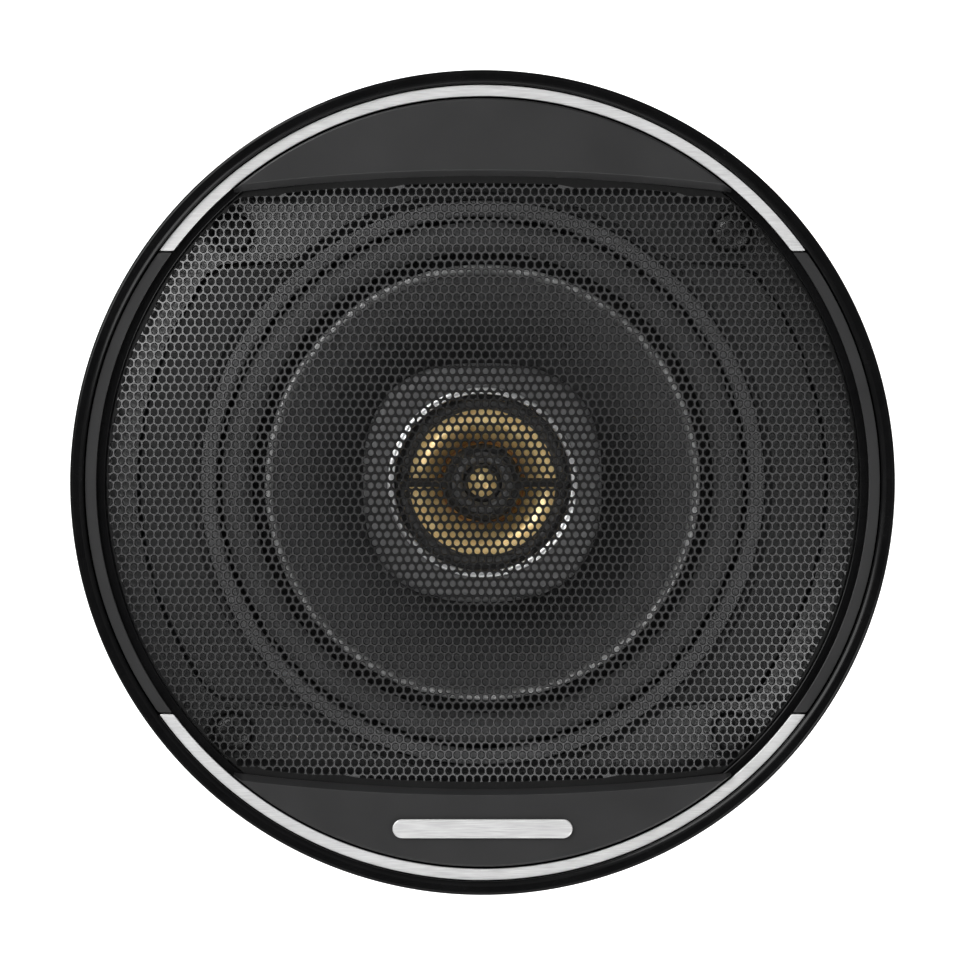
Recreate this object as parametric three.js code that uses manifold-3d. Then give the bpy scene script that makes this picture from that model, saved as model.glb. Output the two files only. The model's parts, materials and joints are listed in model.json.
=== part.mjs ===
// Three-way coaxial car speaker, 13 cm class, with its round press-on grille.
// Millimetres. The speaker's axis is Y: it plays towards -Y, +X is to the listener's right, +Z is up.
// The origin is on the axis, in the plane of the panel that the basket's flange rests on.
// Every height called "a" counts from that plane along the axis towards the listener, so a point's y is -a.
import * as THREE from "three";
import { mergeVertices } from "three/addons/utils/BufferGeometryUtils.js";
import Module from "manifold-3d";

// ---- driving dimensions ----
const SCREW_SQUARE = 94.8; // side of the square that the four mounting screws stand on
const GRILLE_R = 78; // outer radius of the whole speaker with its grille
const GRILLE_FRONT = 12.8; // height of the mesh at the centre
const CUTOUT_R = 57.6; // radius of the basket's round flange
const SHEET = 1.1; // thickness of the basket's steel
const GAP = 0.15; // gap between two pieces that are glued or pressed together

// Woofer
const SURROUND_OUT_R = 49.6;
const SURROUND_IN_R = 43.6;
const ROLL_HEIGHT = 3.7;
const CONE_EDGE_R = 43;
const CONE_EDGE_A = 0.7;
const CONE_NECK_A = -15.2;
const COIL_R = 12.8; // outer radius of the woofer's coil former
const POLE_R = 12;
const SHELF_A = -17.2; // middle of the basket's shelf that carries the spider
const BASKET_FLOOR_A = -27.3; // middle of the basket's floor, where the motor is fixed

// Motor
const TOP_PLATE_T = 5;
const MAGNET_T = 12;
const MAGNET_R = 36;
const PLATE_R = 34;
const BACK_T = 4.9;
const BORE_R = 2.6; // bore through the pole and the pod's floor for the feed cable

// Pod
const POD_HALF = 22.6; // half the width of the pod's face
const POD_POWER = 2.63; // exponent of its superellipse outline: 2 is a circle, larger is squarer
const POD_FRONT = 8.6;
const POD_WALL = 1.5;
const MID_R = 13.9; // edge of the midrange cone
const MID_COIL_R = 7.8;
const CHROME_IN_R = 16.4;
const CHROME_OUT_R = 17.7;
const BRIDGE_RING_R = 7;
const TWEETER_R = 5.8;
const DOME_R = 2.8;

// Grille
const RING_WALL_R = 76; // inner radius of the ring's side wall
const RING_FRONT = 9.6;
const INLAY_OUT_R = 75.2;
const INLAY_IN_R = 72.7;
const INLAY_A = 7.5; // bottom of the inlay arcs
const INLAY_TOP = 8.5;
const INLAY_CUT_Z = 43.8; // height at which the silver arcs are cut off
const MESH_R = 71;
const MESH_T = 0.8;
const MESH_DROP = 5.3; // how far the mesh's rim lies behind its centre
const CHORD_Z = 57.8; // inner edge of the crescent panels on the vertical centre line
const CHORD_R = 380; // radius that this edge bulges with
const CRESCENT_TOP = 9.4;
const BEVEL = 1.3; // width and depth of the crescents' bevel
const CRESCENT_HALF = 44.5;

// Grille base
const BASE_R = 73.6;
const BASE_IN_R = 54.4;
const BASE_TOP = 5.6;
const SIDE_RECESS_R = 65.2;
const SIDE_RECESS_Z = 41.5;
const SCREW_RECESS_R = 4.65;
const SCREW_FLOOR = 2.4;
const STEP_Z = 52; // the base's face is one step lower beyond this height

const BIG = 44; // facets of a large ring
const MEDIUM = 28;
const SMALL = 16;

const wasm = await Module();
wasm.setup();

// ---- materials ----
const material = (color, roughness, metalness = 0) =>
  new THREE.MeshStandardMaterial({ color, roughness, metalness });
const glossBlack = material(0x121212, 0.25);
const satinBlack = material(0x202022, 0.55);
const darkSatin = material(0x4a4a4c, 0.45);
const brushedSilver = material(0xd8d8d8, 0.3, 1);
const meshPaint = material(0x2c2c2e, 0.45, 0.4);
const pulp = material(0x38383a, 0.7);
const rubber = material(0x1c1c1e, 0.65);
const greyPlastic = material(0x77777a, 0.5);
const chrome = material(0xf0f0f0, 0.08, 1);
const gold = material(0xd9a441, 0.25, 1);
const steelPaint = material(0x1b1b1d, 0.4, 0.3);
const zincSteel = material(0xb4b6b8, 0.35, 1);
const ferrite = material(0x2b2b2d, 0.8);
const nickelMagnet = material(0xa8a8ac, 0.25, 1);
const copper = material(0xb56a3a, 0.35, 1);
const kapton = material(0xa8681e, 0.4);
const cloth = material(0xc8a058, 0.9);
const felt = material(0x3a3a3a, 0.95);
const board = material(0x7a4f26, 0.6);
const brass = material(0xc9a24f, 0.3, 1);
const capacitorSleeve = material(0x24406e, 0.4);
const cableJacket = material(0x161616, 0.5);

// ---- shapes ----
// A closed profile of [radius, a] points turned round the speaker's axis.
function lathe(profile, segments) {
  const points = profile.map(([r, a]) => new THREE.Vector2(r, -a));
  if (THREE.ShapeUtils.area(points) < 0) points.reverse();
  const onAxis = points[0].x < 1e-6 && points.at(-1).x < 1e-6;
  if (!onAxis) points.push(points[0].clone());
  return new THREE.LatheGeometry(points, segments);
}

// A ring with a rectangular section.
const ring = (inner, outer, a0, a1, segments) =>
  lathe([[inner, a0], [outer, a0], [outer, a1], [inner, a1]], segments);

// The outline of a sheet of even thickness that follows a path of [radius, a] points.
// A point on the axis gets its thickness along the axis, so that the two faces meet it there.
function ribbon(path, thickness) {
  const points = path.map(([r, a]) => new THREE.Vector2(r, a));
  const sides = points.map((p, i) => {
    if (p.x === 0) return new THREE.Vector2(0, thickness / 2);
    const first = p.clone().sub(points[i - 1] ?? p);
    const second = (points[i + 1] ?? p).clone().sub(p);
    if (first.length() === 0) first.copy(second);
    if (second.length() === 0) second.copy(first);
    const along = first.normalize().clone().add(second.normalize()).normalize();
    const half = thickness / 2 / along.dot(first);
    return new THREE.Vector2(-along.y, along.x).multiplyScalar(half);
  });
  const front = points.map((p, i) => p.clone().add(sides[i]).toArray());
  const back = points.map((p, i) => p.clone().sub(sides[i]).toArray());
  return [...front, ...back.reverse()];
}

const sheetRing = (path, thickness, segments) => lathe(ribbon(path, thickness), segments);

// Points of a half roll from one radius to another, standing up from the height a.
const halfRoll = (r0, r1, a, height, steps) =>
  Array.from({ length: steps + 1 }, (_, i) => {
    const turn = (Math.PI * i) / steps;
    const middle = (r0 + r1) / 2;
    return [middle + ((r0 - r1) / 2) * Math.cos(turn), a + height * Math.sin(turn)];
  });

// An outline in X and Z given thickness from a0 to a1.
function plate(shape, a0, a1, curveSegments = 12) {
  const options = { depth: a1 - a0, bevelEnabled: false, curveSegments };
  return new THREE.ExtrudeGeometry(shape, options).rotateX(Math.PI / 2).translate(0, -a0, 0);
}

const block = (x0, x1, a0, a1, z0, z1) =>
  new THREE.BoxGeometry(x1 - x0, a1 - a0, z1 - z0)
    .translate((x0 + x1) / 2, -(a0 + a1) / 2, (z0 + z1) / 2);

const cylinder = (radius, a0, a1, x, z, segments) =>
  new THREE.CylinderGeometry(radius, radius, a1 - a0, segments).translate(x, -(a0 + a1) / 2, z);

// A solid through sections that all have the same number of points, each section convex.
function loft(sections) {
  const count = sections[0].length;
  const positions = sections.flat().flatMap((p) => p.toArray());
  const index = [];
  for (let s = 0; s + 1 < sections.length; s++) {
    for (let i = 0; i < count; i++) {
      const [a, b] = [s * count + i, s * count + ((i + 1) % count)];
      index.push(a, b + count, b, a, a + count, b + count);
    }
  }
  const last = (sections.length - 1) * count;
  for (let i = 1; i + 1 < count; i++) {
    index.push(0, i, i + 1, last, last + i + 1, last + i);
  }
  const geometry = new THREE.BufferGeometry();
  geometry.setAttribute("position", new THREE.Float32BufferAttribute(positions, 3));
  return geometry.setIndex(index);
}

// ---- cutting and joining ----
function toSolid(geometry) {
  const bare = geometry.clone();
  bare.deleteAttribute("normal");
  bare.deleteAttribute("uv");
  const merged = mergeVertices(bare, 1e-4);
  const triVerts = new Uint32Array(merged.index.array);
  const vertProperties = merged.getAttribute("position").array;
  return new wasm.Manifold(new wasm.Mesh({ numProp: 3, vertProperties, triVerts }));
}

function toGeometry(solid) {
  const mesh = solid.getMesh();
  const geometry = new THREE.BufferGeometry();
  const position = new THREE.Float32BufferAttribute(mesh.vertProperties, 3);
  geometry.setAttribute("position", position).setIndex([...mesh.triVerts]);
  const faceted = geometry.toNonIndexed();
  faceted.computeVertexNormals();
  return faceted;
}

const join = (first, ...rest) =>
  toGeometry(rest.reduce((solid, g) => solid.add(toSolid(g)), toSolid(first)));
const cut = (first, ...rest) =>
  toGeometry(rest.reduce((solid, g) => solid.subtract(toSolid(g)), toSolid(first)));
const common = (first, second) => toGeometry(toSolid(first).intersect(toSolid(second)));

// ---- the assembly: one group for each body that moves as one ----
const group = new THREE.Group();
const chassis = new THREE.Group();
const woofer = new THREE.Group();
const midrange = new THREE.Group();
const tweeter = new THREE.Group();
const grille = new THREE.Group();
group.add(chassis, woofer, midrange, tweeter, grille);

function piece(body, name, geometry, finish) {
  const mesh = new THREE.Mesh(geometry, finish);
  mesh.name = name;
  body.add(mesh);
}

const half = SCREW_SQUARE / 2;
const screwPlaces = [[half, half], [-half, half], [-half, -half], [half, -half]];
const EAR_WIDTH = 11;
const HOLE_R = 2.5; // hole for a mounting screw

// A flat bar with round ends, from the centre line out to both screws of one diagonal.
function diagonalBar(width, a0, a1, turn) {
  const reach = Math.hypot(half, half);
  const shape = new THREE.Shape();
  shape.absarc(reach, 0, width / 2, -Math.PI / 2, Math.PI / 2);
  shape.absarc(-reach, 0, width / 2, Math.PI / 2, (3 * Math.PI) / 2);
  return plate(shape, a0, a1, 4).rotateY(turn);
}

// The flange with its four ears, grown by a margin: also the tool for the pocket that takes it.
function flange(margin, a0, a1) {
  const round = cylinder(CUTOUT_R + margin, a0, a1, 0, 0, BIG);
  const width = EAR_WIDTH + 2 * margin;
  const [one, other] = [Math.PI / 4, -Math.PI / 4].map((turn) => diagonalBar(width, a0, a1, turn));
  return join(round, one, other);
}

// ---- basket ----
const SHELF_R = 35; // outer radius of the shelf under the spider
const SHELF_IN_R = 30.2;
const FLOOR_R = 26.2;
const FLOOR_IN_R = 15.2;
const WALL_TOP_A = -3; // where the short wall under the surround turns into the slanted bowl
const TAB_X = 47; // reach of the tab that carries the terminal board
const TAB_HALF = 13;
const WINDOW_HALF_ANGLE = 33;

function basket() {
  const flangeMiddle = SHEET / 2;
  const bowl = sheetRing(
    [
      [CUTOUT_R - 0.5, flangeMiddle],
      [SURROUND_OUT_R + 0.8, flangeMiddle],
      [SURROUND_OUT_R, WALL_TOP_A],
      [SHELF_R + 0.8, SHELF_A],
      [SHELF_IN_R, SHELF_A],
      [FLOOR_R, BASKET_FLOOR_A],
      [FLOOR_IN_R, BASKET_FLOOR_A],
    ],
    SHEET,
    BIG,
  );
  const opening = cylinder(SURROUND_OUT_R + 0.8, -1, SHEET + 1, 0, 0, BIG);
  const rim = cut(flange(0, 0, SHEET), opening);
  const holes = screwPlaces.map(([x, z]) => cylinder(HOLE_R, -1, SHEET + 1, x, z, SMALL));
  const [tabBottom, tabTop] = [SHELF_A - SHEET / 2, SHELF_A + SHEET / 2];
  const tab = block(SHELF_R - 3, TAB_X, tabBottom, tabTop, -TAB_HALF, TAB_HALF);
  return cut(join(rim, bowl, tab), ...holes, ...basketWindows());
}

// Four windows between the struts, which stand up, down, left and right.
function basketWindows() {
  const halfAngle = THREE.MathUtils.degToRad(WINDOW_HALF_ANGLE);
  return [1, 3, 5, 7].map((eighth) => {
    const middle = (eighth * Math.PI) / 4;
    const shape = new THREE.Shape();
    shape.absarc(0, 0, SURROUND_OUT_R - 1.6, middle - halfAngle, middle + halfAngle);
    shape.absarc(0, 0, SHELF_R + 3, middle + halfAngle, middle - halfAngle, true);
    return plate(shape, SHELF_A - 3, WALL_TOP_A + 1.5, 4);
  });
}

const GASKET_IN_R = 50.5;
const GASKET_OUT_R = 54;

piece(chassis, "basket", basket(), steelPaint);
piece(chassis, "gasket_ring", ring(GASKET_IN_R, GASKET_OUT_R, 1.8, 4.4, BIG), greyPlastic);

// ---- woofer motor ----
const floorBack = BASKET_FLOOR_A - SHEET / 2;
const topPlateFront = floorBack - GAP;
const topPlateBack = topPlateFront - TOP_PLATE_T;
const magnetFront = topPlateBack - GAP;
const magnetBack = magnetFront - MAGNET_T;
const backFront = magnetBack - GAP;
const backFace = backFront - BACK_T;
const GAP_OUT_R = 14.2; // outer radius of the magnetic gap that the voice coil moves in
const MAGNET_IN_R = 19;
const CABLE_R = 1.2;
const GROOVE = 2.7; // depth of the cable's groove across the back plate
const GROOVE_HALF = 1.6;
const cableRun = backFace + GROOVE / 2; // height at which the cable lies in its groove

const topPlate = ring(GAP_OUT_R, PLATE_R, topPlateBack, topPlateFront, MEDIUM);
const ferriteRing = ring(MAGNET_IN_R, MAGNET_R, magnetBack, magnetFront, MEDIUM);

// The back plate and the pole in one piece, with the feed cable's bore and its groove to the plate's edge.
function backYoke() {
  const chamfer = 1.2;
  const body = lathe(
    [
      [BORE_R, backFace],
      [PLATE_R - chamfer, backFace],
      [PLATE_R, backFace + chamfer],
      [PLATE_R, backFront],
      [POLE_R, backFront],
      [POLE_R, topPlateFront],
      [BORE_R, topPlateFront],
    ],
    MEDIUM,
  );
  const groove = block(0, PLATE_R + 1, backFace - 1, backFace + GROOVE, -GROOVE_HALF, GROOVE_HALF);
  const bend = block(0, 6.4, backFace - 1, backFace + 6.4, -GROOVE_HALF, GROOVE_HALF);
  return cut(body, groove, bend);
}

piece(chassis, "top_plate", topPlate, zincSteel);
piece(chassis, "ferrite_magnet", ferriteRing, ferrite);
piece(chassis, "back_yoke", backYoke(), zincSteel);

// ---- pod ----
const podFloor = -6.8; // middle of the rear shell's floor
const podBack = 0; // rear of its square rim
const RIM_T = 1.2;
const FACE_T = 1.4;
const SHELL_R = 20.4; // radius where the rear shell's cone meets its rim

// The pod's outline, moved inwards by an inset.
function podOutline(inset) {
  const size = POD_HALF - inset;
  const steps = 48;
  const points = Array.from({ length: steps }, (_, i) => {
    const turn = (2 * Math.PI * i) / steps;
    const [c, s] = [Math.cos(turn), Math.sin(turn)];
    const reach = size / (Math.abs(c) ** POD_POWER + Math.abs(s) ** POD_POWER) ** (1 / POD_POWER);
    return new THREE.Vector2(reach * c, reach * s);
  });
  return new THREE.Shape(points);
}

function podRearShell() {
  const mouth = cylinder(SHELL_R - 0.5, podBack - 1, podBack + 3, 0, 0, MEDIUM);
  const rim = cut(plate(podOutline(0), podBack, podBack + RIM_T), mouth);
  const path = [[BORE_R, podFloor], [11.4, podFloor], [SHELL_R, podBack + RIM_T / 2]];
  return join(rim, sheetRing(path, 1.1, MEDIUM));
}

function podBezel() {
  const outer = plate(podOutline(0), podBack + RIM_T + GAP, POD_FRONT);
  const inside = plate(podOutline(POD_WALL), podBack, POD_FRONT - FACE_T);
  const mouth = cylinder(CHROME_OUT_R + 0.2, 0, POD_FRONT + 1, 0, 0, MEDIUM);
  return cut(outer, inside, mouth);
}

const POST_R = 5.2;
const post = ring(2.2, POST_R, topPlateFront + GAP, podFloor - 0.7, SMALL);

piece(chassis, "pod_post", post, satinBlack);
piece(chassis, "pod_rear_shell", podRearShell(), satinBlack);
piece(chassis, "pod_bezel", podBezel(), darkSatin);
piece(chassis, "chrome_ring", ring(CHROME_IN_R, CHROME_OUT_R, 7.4, 9.2, MEDIUM), chrome);

// ---- midrange, inside the pod ----
const midGap = 8.8; // inner radius of the midrange yoke's wall
const midYokeR = 10.2;
const midFrameR = 17.2;
const midFrame = [[9.2, 0], [10.6, 0], [15.6, 4.1], [midFrameR, 4.1], [midFrameR, 7]];
const midYoke = [[0, -6], [midYokeR, -6], [midYokeR, -0.6], [midGap, -0.6], [midGap, -5], [0, -5]];
const midCone = [[MID_COIL_R + 0.4, 1.6], [9.5, 3.2], [11, 4.25], [12.5, 4.85], [MID_R, 5]];
const midRoll = [[MID_R - 0.2, 5.5], ...halfRoll(14.3, 16, 5.4, 1, 2), [16.6, 5.3]];

piece(chassis, "midrange_frame", sheetRing(midFrame, 0.9, MEDIUM), satinBlack);
piece(chassis, "midrange_yoke", lathe(midYoke, SMALL), zincSteel);
piece(chassis, "midrange_magnet", cylinder(6.6, -4.9, -2.3, 0, 0, SMALL), nickelMagnet);
piece(chassis, "midrange_pole_cap", cylinder(6.9, -2.2, -0.8, 0, 0, SMALL), zincSteel);
piece(midrange, "midrange_cone", sheetRing(midCone, 0.5, MEDIUM), gold);
const midFormer = ring(MID_COIL_R - 0.3, MID_COIL_R, -3.8, 1.8, SMALL);
const midWinding = ring(MID_COIL_R + 0.07, MID_COIL_R + 0.55, -2.6, -0.2, SMALL);
const midDustCap = sheetRing([[0, 2.9], [3.6, 2.6], [7.2, 1.6]], 0.4, SMALL);

piece(midrange, "midrange_coil_former", midFormer, kapton);
piece(midrange, "midrange_coil_winding", midWinding, copper);
piece(midrange, "midrange_dust_cap", midDustCap, pulp);
piece(midrange, "midrange_surround", sheetRing(midRoll, 0.3, MEDIUM), rubber);

// ---- tweeter, on a bridge across the midrange ----
const BRIDGE_HALF = 0.85; // half the width of the bridge's arms

function tweeterBridge() {
  const [bottom, top] = [7.7, 8.9];
  const reach = CHROME_IN_R - GAP;
  const arms = block(-reach, reach, bottom, top, -BRIDGE_HALF, BRIDGE_HALF);
  const seat = cylinder(BRIDGE_RING_R, bottom - 0.6, top, 0, 0, MEDIUM);
  return cut(join(arms, seat), cylinder(TWEETER_R + GAP, 0, 12, 0, 0, MEDIUM));
}

const tweeterCup = [
  [0, 4.2], [TWEETER_R, 4.2], [TWEETER_R, 9.1], [5.1, 9.9], [4.1, 9.9], [3.75, 9], [3.75, 5.2], [0, 5.2],
];
const tweeterYoke = [[0, 5.35], [3.6, 5.35], [3.6, 7.9], [3.05, 7.9], [3.05, 6.1], [0, 6.1]];
const dome = [[0, 9.7], [1.2, 9.45], [2.2, 8.8], [DOME_R - 0.1, 8.35]];

piece(chassis, "tweeter_bridge", tweeterBridge(), satinBlack);
piece(chassis, "tweeter_housing", lathe(tweeterCup, MEDIUM), satinBlack);
piece(chassis, "tweeter_yoke", lathe(tweeterYoke, SMALL), zincSteel);
piece(chassis, "tweeter_magnet", cylinder(2.1, 6.2, 7.8, 0, 0, SMALL), nickelMagnet);
piece(tweeter, "tweeter_dome", sheetRing(dome, 0.2, SMALL), gold);
piece(tweeter, "tweeter_coil", ring(2.45, 2.75, 6.7, 8.15, SMALL), copper);
const tweeterRoll = [[DOME_R + 0.05, 8.4], [3.2, 8.65], [3.6, 8.4]];
piece(tweeter, "tweeter_surround", sheetRing(tweeterRoll, 0.15, SMALL), rubber);

// ---- woofer's moving parts ----
const coneProfile = [
  [COIL_R + 0.25, CONE_NECK_A], [22, -10.8], [31, -5.6], [39.4, 0.2], [CONE_EDGE_R, CONE_EDGE_A],
];
const edgeRing = [[39.5, 0.9], [41.4, 1.25], [41.2, 2.1], [40.2, 2.4]];
const surround = [
  [41.8, 1.5], ...halfRoll(SURROUND_IN_R, SURROUND_OUT_R, 1.5, ROLL_HEIGHT, 5), [53.6, 1.5],
];
const WAVES = 3;
const WAVE_HEIGHT = 0.7;

// The spider's corrugations, between the coil former and the basket's shelf.
function spiderPath() {
  const [start, end] = [15.2, 29.6];
  const level = SHELF_A + SHEET / 2 + 0.35;
  const crests = Array.from({ length: 2 * WAVES + 1 }, (_, i) => {
    const side = i % 2 ? 1 : -1;
    return [start + ((end - start) * i) / (2 * WAVES), level + 0.6 + side * WAVE_HEIGHT];
  });
  return [[COIL_R + 0.3, level], ...crests, [34, level]];
}

piece(woofer, "woofer_cone", sheetRing(coneProfile, 0.7, BIG), pulp);
piece(woofer, "cone_edge_ring", lathe(edgeRing, BIG), chrome);
piece(woofer, "surround", sheetRing(surround, 0.5, BIG), rubber);
const former = ring(COIL_R - 0.25, COIL_R, -40, CONE_NECK_A + 1.6, MEDIUM);
const winding = ring(COIL_R + 0.12, COIL_R + 0.7, -37, -24, MEDIUM);
const dustSeal = ring(POST_R + 0.6, COIL_R - 0.5, -14.6, -13.8, SMALL);

piece(woofer, "voice_coil_former", former, kapton);
piece(woofer, "voice_coil_winding", winding, copper);
piece(woofer, "spider", sheetRing(spiderPath(), 0.4, MEDIUM), cloth);
piece(woofer, "dust_seal", dustSeal, felt);

// ---- terminals, crossover and wiring ----
const BOARD_T = 1.6;
const BOARD_HALF = 14.5;
const BLADE_Z = 8.5; // distance of each blade terminal from the centre line
const BLADE_T = 0.8;
const BLADE_END = 57;
const tabFace = SHELF_A - SHEET / 2 - GAP;
const boardBack = tabFace - BOARD_T;

function terminal(side, width) {
  const z = side * BLADE_Z;
  const front = boardBack - GAP;
  const back = front - BLADE_T;
  const blade = block(TAB_X, BLADE_END, back, front, z - width / 2, z + width / 2);
  const foot = block(TAB_X - 4, TAB_X + 0.1, back, front, z - 3.6, z + 3.6);
  return cut(join(blade, foot), cylinder(0.9, back - 1, front + 1, BLADE_END - 3.5, z, 12));
}

function capacitor(side) {
  const [radius, length] = [4.2, 11.6];
  const body = new THREE.CylinderGeometry(radius, radius, length, 20).rotateX(Math.PI / 2);
  const level = boardBack - GAP - 0.9 - radius;
  return body.translate(SHELF_R + 6, -level, side * (2.4 + length / 2));
}

// A round cable along a smooth curve through its points.
function cable(points, radius, steps) {
  const path = new THREE.CatmullRomCurve3(points.map(([x, a, z]) => new THREE.Vector3(x, -a, z)));
  const section = new THREE.Shape().absarc(0, 0, radius, 0, 2 * Math.PI);
  return new THREE.ExtrudeGeometry(section, { steps, extrudePath: path, curveSegments: 4 });
}

// The feed cable's way: back through the pole, across the back plate and forward beside the magnet.
const magnetSide = MAGNET_R + 2.6;
const feedRoute = [
  [0, podFloor - 0.2, 0], [0, -16, 0], [0, -28, 0], [0, -40, 0], [0, backFace + 5.6, 0],
  [1.3, backFace + 2.5, 0], [5, cableRun, 0], [14, cableRun, 0], [24, cableRun, 0], [34.6, cableRun, 0],
  [magnetSide - 1.4, cableRun + 1.6, 0], [magnetSide, cableRun + 6, 0], [magnetSide, -36, 0],
  [magnetSide, -27, 0], [magnetSide, boardBack - 0.4, 0],
];
const leadRoute = [
  [40.5, -16, 10.6], [38.6, -13.6, 10.5], [34.5, -12, 10],
  [29, -12.4, 9], [23.4, -13.4, 7], [17.2, -13.95, 5],
];
const terminalBoard = block(SHELF_R + 2, TAB_X + 3, boardBack, tabFace, -BOARD_HALF, BOARD_HALF);

piece(chassis, "terminal_board", terminalBoard, board);
piece(chassis, "terminal_positive", terminal(1, 6.3), brass);
piece(chassis, "terminal_negative", terminal(-1, 4.8), brass);
piece(chassis, "crossover_capacitor_midrange", capacitor(1), capacitorSleeve);
piece(chassis, "crossover_capacitor_tweeter", capacitor(-1), capacitorSleeve);
piece(chassis, "pod_feed_cable", cable(feedRoute, CABLE_R, 46), cableJacket);
for (const [name, side] of [["positive", 1], ["negative", -1]]) {
  const route = leadRoute.map(([x, a, z]) => [x, a, side * z]);
  piece(woofer, `tinsel_lead_${name}`, cable(route, 0.5, 14), copper);
}

// ---- grille base and mounting screws ----
// The space of one D-shaped recess: its floor rises outwards like a shallow cone.
function sideRecess(side) {
  const start = BASE_IN_R - 1;
  const cone = lathe([[start, 2], [SIDE_RECESS_R, 4.6], [SIDE_RECESS_R, 8], [start, 8]], BIG);
  const [x0, x1] = side > 0 ? [0, GRILLE_R] : [-GRILLE_R, 0];
  return common(cone, block(x0, x1, 0, 10, -SIDE_RECESS_Z, SIDE_RECESS_Z));
}

function grilleBase() {
  const body = ring(BASE_IN_R, BASE_R, 0.1, BASE_TOP, BIG);
  const pocket = flange(0.3, -1, SHEET + 0.3);
  const recesses = screwPlaces.map(([x, z]) => cylinder(SCREW_RECESS_R, SCREW_FLOOR, 9, x, z, SMALL));
  const holes = screwPlaces.map(([x, z]) => cylinder(HOLE_R + 0.1, -1, 9, x, z, SMALL));
  const steps = [[STEP_Z, GRILLE_R], [-GRILLE_R, -STEP_Z]]
    .map(([z0, z1]) => block(-GRILLE_R, GRILLE_R, BASE_TOP - 1, 9, z0, z1));
  const notches = nubPlaces.map((turn) => nub(turn, NUB_HALF + 0.4, BASE_R - 1.6, BASE_R + 1, -1, 9));
  const sides = [sideRecess(1), sideRecess(-1)];
  return cut(body, pocket, ...recesses, ...holes, ...steps, ...notches, ...sides);
}

// The block of one nub that holds the grille on, at the top, bottom, left or right of the ring.
const NUB_HALF = 4;
const nubPlaces = [0, 1, 2, 3].map((quarter) => (quarter * Math.PI) / 2);
const nub = (turn, halfWidth, r0, r1, a0, a1) =>
  block(r0, r1, a0, a1, -halfWidth, halfWidth).rotateY(turn);

const HEAD_R = 3.8;
const SHANK_R = 1.9;

// A pan-head screw with a crossed slot and a pointed tip.
function screw(x, z) {
  const seat = SCREW_FLOOR + GAP;
  const brim = seat + 0.9;
  const top = seat + 2.1;
  const profile = [
    [0, -14], [SHANK_R, -11], [SHANK_R, seat], [HEAD_R, seat],
    [HEAD_R, brim], [HEAD_R - 1.2, top], [0, top],
  ];
  const slots = [[2.1, 0.45], [0.45, 2.1]].map(([w, h]) => block(-w, w, brim, top + 1, -h, h));
  return cut(lathe(profile, SMALL), ...slots).translate(x, 0, z);
}

piece(chassis, "grille_base", grilleBase(), satinBlack);
screwPlaces.forEach(([x, z], i) => piece(chassis, `mounting_screw_${i + 1}`, screw(x, z), zincSteel));

// ---- grille cover ----
function grilleRing() {
  const [lipIn, lipTop, lipBottom] = [MESH_R + 0.3, INLAY_A - 0.1, INLAY_A - 1.2];
  const [rear, chamferR] = [0.6, INLAY_OUT_R + 0.2];
  const profile = [
    [RING_WALL_R, rear], [GRILLE_R, rear], [GRILLE_R, RING_FRONT - 1], [GRILLE_R - 0.9, RING_FRONT],
    [RING_WALL_R + 0.5, RING_FRONT], [chamferR, INLAY_TOP], [chamferR, lipTop],
    [lipIn, lipTop], [lipIn, lipBottom], [RING_WALL_R, lipBottom],
  ];
  const [nubIn, nubOut, nubRear] = [BASE_R - 1.2, RING_WALL_R + 0.4, 1.4];
  const nubs = nubPlaces.map((turn) => nub(turn, NUB_HALF, nubIn, nubOut, nubRear, lipBottom));
  return join(lathe(profile, 60), ...nubs);
}

// The domed sheet's height at a radius.
const meshHeight = (r) => GRILLE_FRONT - MESH_T / 2 - MESH_DROP * (r / MESH_R) ** 3;

// Height of the edge, at the horizontal place x, that the mesh and the crescents share.
const chordHeight = (x) => CHORD_Z - CHORD_R + Math.sqrt(CHORD_R ** 2 - x ** 2);

function grilleMesh() {
  const radii = [0, 26, 44, 59, MESH_R];
  const sheet = sheetRing(radii.map((r) => [r, meshHeight(r)]), MESH_T, BIG);
  const edge = Array.from({ length: 25 }, (_, i) => (i / 12 - 1) * (MESH_R + 2));
  const top = edge.map((x) => new THREE.Vector2(x, chordHeight(x) - 1));
  const bottom = top.map(({ x, y }) => new THREE.Vector2(-x, -y));
  return common(sheet, plate(new THREE.Shape([...bottom, ...top]), 0, 20));
}

// One of the four arcs of the inlay band: a bright arc lies above or below the cut, a dark one beside
// the axis. "side" is 1 for the top or the right, and -1 for the bottom or the left.
function inlayArc(bright, side) {
  const band = ring(INLAY_IN_R, INLAY_OUT_R, INLAY_A, INLAY_TOP, 80);
  const reach = side * (GRILLE_R + 1);
  const near = bright ? side * INLAY_CUT_Z : 0;
  const [low, high] = [Math.min(near, reach), Math.max(near, reach)];
  const sideHalf = INLAY_CUT_Z - 2 * GAP;
  const window = bright
    ? block(-GRILLE_R, GRILLE_R, 0, 20, low, high)
    : block(low, high, 0, 20, -sideHalf, sideHalf);
  return common(band, window);
}

// The panel between the inlay arc and the mesh, bevelled along its inner edge.
function crescent(side) {
  const steps = 24;
  const sections = Array.from({ length: steps + 1 }, (_, i) => {
    const x = CRESCENT_HALF * ((2 * i) / steps - 1);
    const outer = Math.sqrt((INLAY_IN_R - 2 * GAP) ** 2 - x ** 2);
    const inner = chordHeight(x);
    const crest = Math.min(inner + BEVEL, outer - 0.02);
    const outline = [
      [inner, INLAY_A], [inner, CRESCENT_TOP - BEVEL], [crest, CRESCENT_TOP],
      [outer, CRESCENT_TOP], [outer, INLAY_A],
    ];
    return outline.map(([z, a]) => new THREE.Vector3(side * x, -a, side * z));
  });
  return loft(sections);
}

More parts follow.
